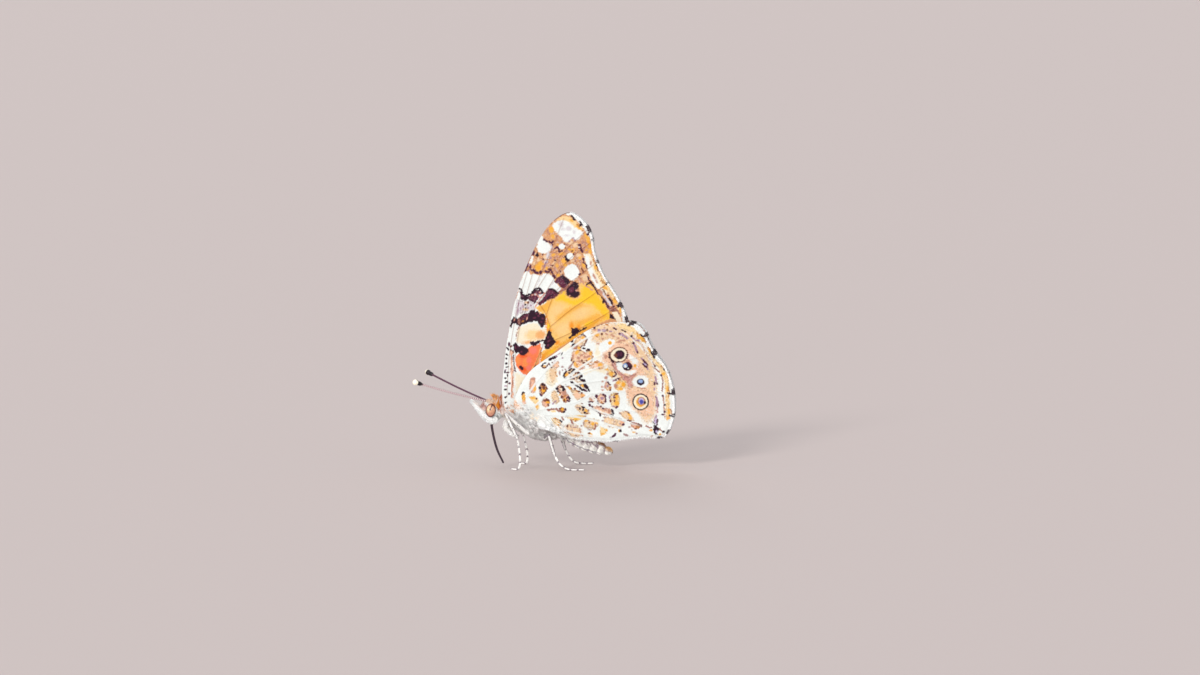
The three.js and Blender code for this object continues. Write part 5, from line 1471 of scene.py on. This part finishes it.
# Palps
palp = {
    "path": [(-7.3, 7.35), (-7.9, 6.85), (-8.8, 7.2), (-9.8, 8.3), (-10.6, 9.15), (-11.15, 9.6)],
    "radii": [0.27, 0.36, 0.34, 0.28, 0.2, 0.1],
    "spread": 0.8, "closing": 0.04, "cells": (24, 48),
    "skin": (0.88, 0.88, 0.86), "hair": (0.985, 0.99, 0.98),
    "count": 2800, "size": (0.42, 0.08, 0.06), "clumps": 200, "gather": 0.35,
}
for sideName, side in sides:
    path = [(x, side * (palp["spread"] - palp["closing"] * i), z) for i, (x, z) in enumerate(palp["path"])]
    surface = tubeSurface(path, palp["radii"], 0.03)
    core, share, angle = wrapSphere(surface, *palp["cells"])
    setColours(core.data, plainTint(palp["skin"], len(share)))
    finishPiece(core, "palp_" + sideName, skinLook, ["palp_" + sideName])
    count = palp["count"]
    share, angle = spreadPlaces(count, 0.01, 0.99)
    roots, normals, along = surfaceFrame(surface, share, angle)
    facing = normals[:, 2]
    tints = plainTint(palp["hair"], count)
    blendTint(tints, smooth(0.35, 0.8, -facing) * smooth(0.25, 0.45, share) * 0.5, (0.8, 0.78, 0.82))
    top = smooth(0.3, 0.8, facing) * smooth(0.35, 0.6, share) * (1 - smooth(0.85, 0.95, share))
    blendTint(tints, top * 0.6, (0.86, 0.68, 0.6))
    combs = along + rng.normal(0, 0.1, along.shape) + np.array((0, 0, -0.8)) * (facing[:, None] < -0.3)
    sizes = randomSizes(count, *palp["size"])
    hanging = (facing < -0.4) & (share < 0.75)
    sizes[1][hanging] += 0.22 * rng.random(np.sum(hanging))
    bake = np.stack([angle / fullTurn, share], axis=1)
    name = "palp_hair_" + sideName
    hairs = growHairs(name, roots, normals, combs, sizes, tints, bake, palp["clumps"], palp["gather"])
    finishPiece(hairs, name, fur, [])
print("palps")

# Proboscis
proboscis = {
    "path": [(-8.2, 7.6), (-8.25, 6.3), (-8.0, 4.7), (-7.45, 2.6), (-6.5, 0.55)],
    "radii": [0.2, 0.2, 0.19, 0.18, 0.16, 0.14],
    "cells": (24, 160), "tint": (0.16, 0.04, 0.13), "stripe": (0.9, 0.74, 0.76), "rings": 420,
}
tongueLook = makeMaterial("tongue", "coat", roughness=0.4, specular=0.45)
surface = tubeSurface([(x, 0, z) for x, z in proboscis["path"]], proboscis["radii"], 0.02)
tongue, share, angle = wrapSphere(surface, *proboscis["cells"])
normals = surfaceFrame(surface, share, angle)[1]
tints = plainTint(proboscis["tint"], len(share))
blendTint(tints, smooth(0.8, 0.95, np.abs(normals[:, 0])), proboscis["stripe"])
tints *= (0.8 + 0.2 * np.sin(share * proboscis["rings"]))[:, None]
setColours(tongue.data, tints)
finishPiece(tongue, "proboscis", tongueLook, ["proboscis"])

# Antennae, ringed along the shaft and dark at the club with a cream tip
antenna = {
    "base": (-8.95, 0.35, 9.65), "tip": (-18.77, 8.2, 13.14), "sag": 0.13, "club": 0.115,
    "shaft": 0.14, "neck": 0.31, "end": 0.4, "rings": 40, "cells": (20, 400),
    "tint": (0.34, 0.19, 0.27), "ringTint": (0.92, 0.82, 0.82), "clubTint": (0.1, 0.04, 0.08),
    "tipTint": (1.0, 0.97, 0.88),
}
ringTurn = fullTurn * antenna["rings"]
for sideName, side in sides:
    start, end = [np.array((x, side * y, z)) for x, y, z in (antenna["base"], antenna["tip"])]
    path = []
    for t in np.linspace(0, 1, 5):
        path.append(start + (end - start) * t - np.array((0, 0, antenna["sag"] * math.sin(math.pi * t))))
    steps, club = np.linspace(0, 1, tubeSteps), antenna["club"]
    sizes = antenna["shaft"] * (1 + 0.1 * np.cos(steps * ringTurn))
    sizes += (antenna["neck"] - antenna["shaft"]) * smooth(1 - club * 1.15, 1 - club * 0.75, steps)
    sizes += (antenna["end"] - antenna["neck"]) * smooth(1 - club * 0.6, 1 - club * 0.3, steps)
    surface = tubeSurface(path, sizes, 0.028)
    feeler, share, angle = wrapSphere(surface, *antenna["cells"])
    normals = surfaceFrame(surface, share, angle)[1]
    outer = smooth(-0.35, 0.35, normals[:, 1] * side - normals[:, 2] * 0.4)
    ring = smooth(0.3, 0.55, 0.5 + 0.5 * np.sin(share * ringTurn))
    tints = plainTint(antenna["tint"], len(share))
    blendTint(tints, ring * outer * (1 - smooth(0.86, 0.89, share)), antenna["ringTint"])
    blendTint(tints, smooth(0.875, 0.89, share), antenna["clubTint"])
    blendTint(tints, smooth(0.0, 0.008, share - 0.968 + 0.022 * outer), antenna["tipTint"])
    setColours(feeler.data, tints)
    finishPiece(feeler, "antenna_" + sideName, tongueLook, ["antenna_" + sideName])
print("proboscis and antennae")

# Walking legs: white with dark edges and joints
legParts = {
    "femur": {"radius": 0.27, "count": 900, "hair": 0.36, "spine": 0.02},
    "tibia": {"radius": 0.2, "count": 650, "hair": 0.36, "spine": 0.12},
    "tarsus": {"radius": 0.14, "count": 380, "hair": 0.24, "spine": 0.12},
}
legLook = {
    "pale": (0.99, 0.98, 0.96), "dark": (0.3, 0.13, 0.27), "spine": (0.3, 0.16, 0.22), "cells": (20, 60),
    "tarsusJoints": 5, "hairSize": (0.03, 0.065), "spineShare": 0.03, "profile": (0.85, 1, 1, 0.9, 0.75),
}
legs = {
    "mid_leg_left": {
        "side": -1, "hip": (-2.6, 1.3, 4.9), "knee": (-5.95, 3.15, 8.2), "ankle": (-4.1, 3.6, 4.5),
        "foot": [(-3.75, 3.9, 2.2), (-3.7, 4.0, 1.0), (-3.95, 4.05, 0.22), (-5.1, 4.2, 0.2)],
    },
    "mid_leg_right": {
        "side": 1, "hip": (-2.6, 1.3, 4.9), "knee": (-5.7, 3.15, 8.1), "ankle": (-4.0, 3.6, 4.4),
        "foot": [(-3.5, 3.9, 2.2), (-3.4, 4.0, 1.0), (-3.6, 4.05, 0.22), (-4.75, 4.2, 0.2)],
    },
    "hind_leg_left": {
        "side": -1, "hip": (-0.4, 1.1, 4.3), "knee": (0.45, 4.0, 5.1), "ankle": (1.35, 4.2, 2.2),
        "foot": [(2.0, 4.3, 1.1), (2.7, 4.35, 0.5), (3.5, 4.4, 0.22), (5.8, 4.6, 0.2)],
    },
    "hind_leg_right": {
        "side": 1, "hip": (-0.4, 1.1, 4.3), "knee": (1.2, 4.0, 5.2), "ankle": (2.1, 4.2, 2.3),
        "foot": [(2.7, 4.3, 1.15), (3.3, 4.35, 0.5), (4.1, 4.4, 0.22), (6.3, 4.6, 0.2)],
    },
}


def legColours(normals, share, kind):
    tints = plainTint(legLook["pale"], len(share))
    edge = smooth(0.55, 0.85, np.abs(normals[:, 2 if kind == "tarsus" else 0]))
    joints = 1 - smooth(0.01, 0.05, 1 - share if kind == "femur" else np.minimum(share, 1 - share))
    if kind == "tarsus":
        cycle = 0.5 + 0.5 * np.cos(share * fullTurn * legLook["tarsusJoints"])
        joints = np.maximum(joints, smooth(0.8, 0.97, cycle))
    if kind == "femur":
        edge = edge * smooth(0.05, 0.3, share)
    blendTint(tints, np.clip(edge * 0.85 + joints * 0.8, 0, 1), legLook["dark"])
    return tints


def legPath(leg, kind):
    places = [leg["hip"], leg["knee"], leg["ankle"]] + leg["foot"]
    hip, knee, ankle, *foot = [np.array((x, leg["side"] * y, z)) for x, y, z in places]
    if kind == "femur":
        return [hip, hip * 0.7 + knee * 0.3, hip * 0.3 + knee * 0.7, knee]
    return [knee, knee * 0.5 + ankle * 0.5, ankle] if kind == "tibia" else [ankle] + foot


for name, leg in legs.items():
    cores, tufts = [], []
    for i, (kind, part) in enumerate(legParts.items()):
        radii = [part["radius"] * size for size in legLook["profile"]]
        if kind == "tarsus":
            waves = [abs(math.sin(t * math.pi * legLook["tarsusJoints"])) for t in np.linspace(0, 1, 61)]
            radii = [part["radius"] * (0.82 + 0.18 * wave) for wave in waves]
        surface = tubeSurface(legPath(leg, kind), radii, 0.05)
        core, share, angle = wrapSphere(surface, *legLook["cells"], (0, i / 3, 1, i / 3 + 0.32))
        places, normals, along = surfaceFrame(surface, share, angle)
        places[:, 2] = np.maximum(places[:, 2], 0)
        setPlaces(core.data, places)
        setColours(core.data, legColours(normals, share, kind))
        cores.append(core)
        count = part["count"]
        share, angle = spreadPlaces(count, 0.02, 0.96)
        roots, normals, along = surfaceFrame(surface, share, angle)
        tints = legColours(normals, share, kind)
        sizes = randomSizes(count, part["hair"], *legLook["hairSize"])
        spines = rng.random(count) < legLook["spineShare"]
        sizes[1][spines] += part["spine"]
        tints[spines] = linear(legLook["spine"])
        bake = np.stack([angle / fullTurn, i / 3 + 0.32 * share], axis=1)
        roots[:, 2] = np.maximum(roots[:, 2], 0.06)
        clear = roots[:, 2] > 0.12
        combs = along[clear] + rng.normal(0, 0.08, along[clear].shape)
        sizes = [size[clear] for size in sizes]
        roots, normals, tints, bake = roots[clear], normals[clear], tints[clear], bake[clear]
        tufts.append(growHairs(name + "_hair", roots, normals, combs, sizes, tints, bake))
    nodes = [name + "_" + kind for kind in legParts]
    finishPiece(joinPieces(cores), name, skinLook, nodes)
    hairs = joinPieces(tufts)
    places = getPlaces(hairs.data) / mm
    places[:, 0] -= centreShift
    places[:, 2] = np.maximum(places[:, 2], 0)
    setPlaces(hairs.data, places)
    finishPiece(hairs, name + "_hair", fur, [])

# Forelegs, folded against the chest
foreleg = {
    "path": [(-5.9, 0.9, 7.0), (-6.1, 1.15, 6.0), (-5.2, 1.2, 4.95), (-4.7, 1.2, 4.6)],
    "radii": [0.25, 0.27, 0.25, 0.2, 0.12], "cells": (20, 50), "skin": (0.95, 0.93, 0.9),
    "count": 1100, "size": (0.6, 0.08, 0.07), "clumps": 90, "gather": 0.4,
}
for sideName, side in sides:
    surface = tubeSurface([(x, side * y, z) for x, y, z in foreleg["path"]], foreleg["radii"], 0.05)
    core, share, angle = wrapSphere(surface, *foreleg["cells"])
    setColours(core.data, plainTint(foreleg["skin"], len(share)))
    finishPiece(core, "foreleg_" + sideName, skinLook, ["foreleg_" + sideName])
    count, name = foreleg["count"], "foreleg_hair_" + sideName
    share, angle = spreadPlaces(count, 0.02, 0.98)
    roots, normals, along = surfaceFrame(surface, share, angle)
    tints = plainTint(legLook["pale"], count)
    bake = np.stack([angle / fullTurn, share], axis=1)
    sizes = randomSizes(count, *foreleg["size"])
    combs = along + rng.normal(0, 0.12, along.shape)
    hairs = growHairs(name, roots, normals, combs, sizes, tints, bake, foreleg["clumps"], foreleg["gather"])
    finishPiece(hairs, name, fur, [])
print("legs")

# Fringes along the wing margins, white with dark blocks at the vein ends
fringeLook = {
    "pale": (1.0, 1.0, 0.99), "dark": (0.2, 0.07, 0.14), "taper": (0.7, 1.0, 0.95), "rootIn": 0.06,
    "lean": 0.25, "layer": 0.08, "bend": 0.03,
}
fringes = {
    "forewing_fringe": {"wing": foreWing, "distance": foreDistance, "corners": (7, 14), "count": 1500,
                        "length": 0.12, "width": 0.1},
    "hindwing_fringe": {"wing": hindWing, "distance": hindDistance, "corners": (6, 12), "count": 1500,
                        "length": 0.12, "width": 0.1},
    "hindwing_edge": {"wing": hindWing, "distance": hindDistance, "corners": (12, 17.9), "count": 1900,
                      "length": 0.45, "width": 0.06},
}


def marginHairs(name, side, fringe):
    wing, count, length = fringe["wing"], fringe["count"], fringe["length"]
    path, inward, depth = insetOutline(wing)
    start, end = [corner * spanSteps for corner in fringe["corners"]]
    places = start + (end - start) * rng.random(count)
    low = np.floor(places).astype(int) % len(path)
    high = (low + 1) % len(path)
    mix = (places - np.floor(places))[:, None]
    points = path[low] * (1 - mix) + path[high] * mix
    into = inward[low] * (1 - mix) + inward[high] * mix
    reach = np.maximum(depth[low], 0.1)
    points += into * (fringeLook["rootIn"] + length * rng.random(count)[:, None])
    x, z = points.T
    y = side * (fringe["distance"](x, z) + rng.uniform(-fringeLook["layer"], fringeLook["layer"], count))
    combs = np.stack([-into[:, 0], np.zeros(count), -into[:, 1]], axis=1) + rng.normal(0, 0.08, (count, 3))
    combs[:, 0] += fringeLook["lean"]
    normals = np.tile((0, side * 1.0, 0), (count, 1))
    ends = np.array([vein[-1] for vein in wing["veins"].values()])
    fromEnd = np.min(np.hypot(x[:, None] - ends[None, :, 0], z[:, None] - ends[None, :, 1]), axis=1)
    block = wing["fringeDark"]
    tints = plainTint(fringeLook["pale"], count)
    blendTint(tints, smooth(block, block * 0.75, fromEnd + rng.normal(0, 0.05, count)), fringeLook["dark"])
    lengths = (reach + length * 0.6) * (0.8 + 0.25 * rng.random(count))
    heights = rng.uniform(-fringeLook["bend"], fringeLook["bend"], count)
    sizes = (lengths, heights, fringe["width"] * (0.7 + 0.5 * rng.random(count)))
    along = 0.02 + 0.96 * (places - start) / (end - start)
    bake = np.stack([along, 0.1 + 0.8 * rng.random(count)], axis=1)
    roots = np.stack([x, y, z], axis=1)
    piece = growHairs(name, roots, normals, combs, sizes, tints, bake, taper=fringeLook["taper"])
    finishPiece(piece, name, fur, [])


# Silky hairs over the roots of the hindwings
silk = {
    "region": (-5, 5, 4.6, 11), "count": 7600, "size": (1.1, 0.05, 0.055),
    "strip": ((-6.6, 8.6), (0.7, 5.0)), "pale": (0.99, 0.99, 0.98), "warm": (0.99, 0.78, 0.46),
    "grey": (0.82, 0.76, 0.75), "marks": 0.4, "each": 22, "gather": 0.5, "step": 0.05,
}


def rootHairs(name, side):
    westX, eastX, lowZ, highZ = silk["region"]
    x = rng.uniform(westX, eastX, silk["count"])
    z = rng.uniform(lowZ, highZ, silk["count"])
    outline = [tuple(point) for point in insetOutline(hindWing)[0][::3]]
    fromBody = segmentDistance(x, z, *silk["strip"])
    keep = insidePolygon(x, z, outline) & (rng.random(silk["count"]) < 1 - smooth(0.4, 2.8, fromBody))
    x, z = x[keep], z[keep]
    count, step = len(x), silk["step"]
    lift = 0.2 - 0.05 * (1 - np.exp(-veinDistances(hindWing, x, z) / wingRelief["pleatReach"]))
    slopeX = (hindDistance(x + step, z) - hindDistance(x - step, z)) / (2 * step)
    slopeZ = (hindDistance(x, z + step) - hindDistance(x, z - step)) / (2 * step)
    normals = unit(np.stack([-slopeX, np.full(count, 1.0 * side), -slopeZ], axis=1))
    roots = np.stack([x, side * (hindDistance(x, z) + lift), z], axis=1)
    combs = np.stack([np.full(count, 1.0), side * slopeX, -0.45 - 0.25 * smooth(8, 5, z)], axis=1)
    combs += rng.normal(0, 0.12, combs.shape)
    tints = np.tile(paint["chalk"], (count, 1)).astype(float)
    paintMarks(x, z, tints, hindMarks)
    tints = tints * silk["marks"] / scaleTone + linear(silk["pale"]) * (1 - silk["marks"])
    warm = np.exp(-(((x + 2.2) / 0.5) ** 2) - ((z - 7.6) / 0.75) ** 2)
    blendTint(tints, warm * 0.85, silk["warm"])
    # Random pinkish-grey patches on the silk, painted shade among the hairs
    grey = smooth(0.55, 0.8, noise(x * 0.5 + z * 0.6, z - x * 0.3, 0.4, 61))
    blendTint(tints, grey * 0.3, silk["grey"])
    bake = 0.01 + 0.98 * np.stack([(x - westX) / (eastX - westX), (z - lowZ) / (highZ - lowZ)], axis=1)
    sizes, clumps = randomSizes(count, *silk["size"]), max(count // silk["each"], 1)
    piece = growHairs(name, roots, normals, combs, sizes, tints, bake, clumps, silk["gather"])
    finishPiece(piece, name, fur, [])


for sideName, side in sides:
    for name, fringe in fringes.items():
        marginHairs(name + "_" + sideName, side, fringe)
    rootHairs("hindwing_hair_" + sideName, side)
print("fringes and silky hairs")
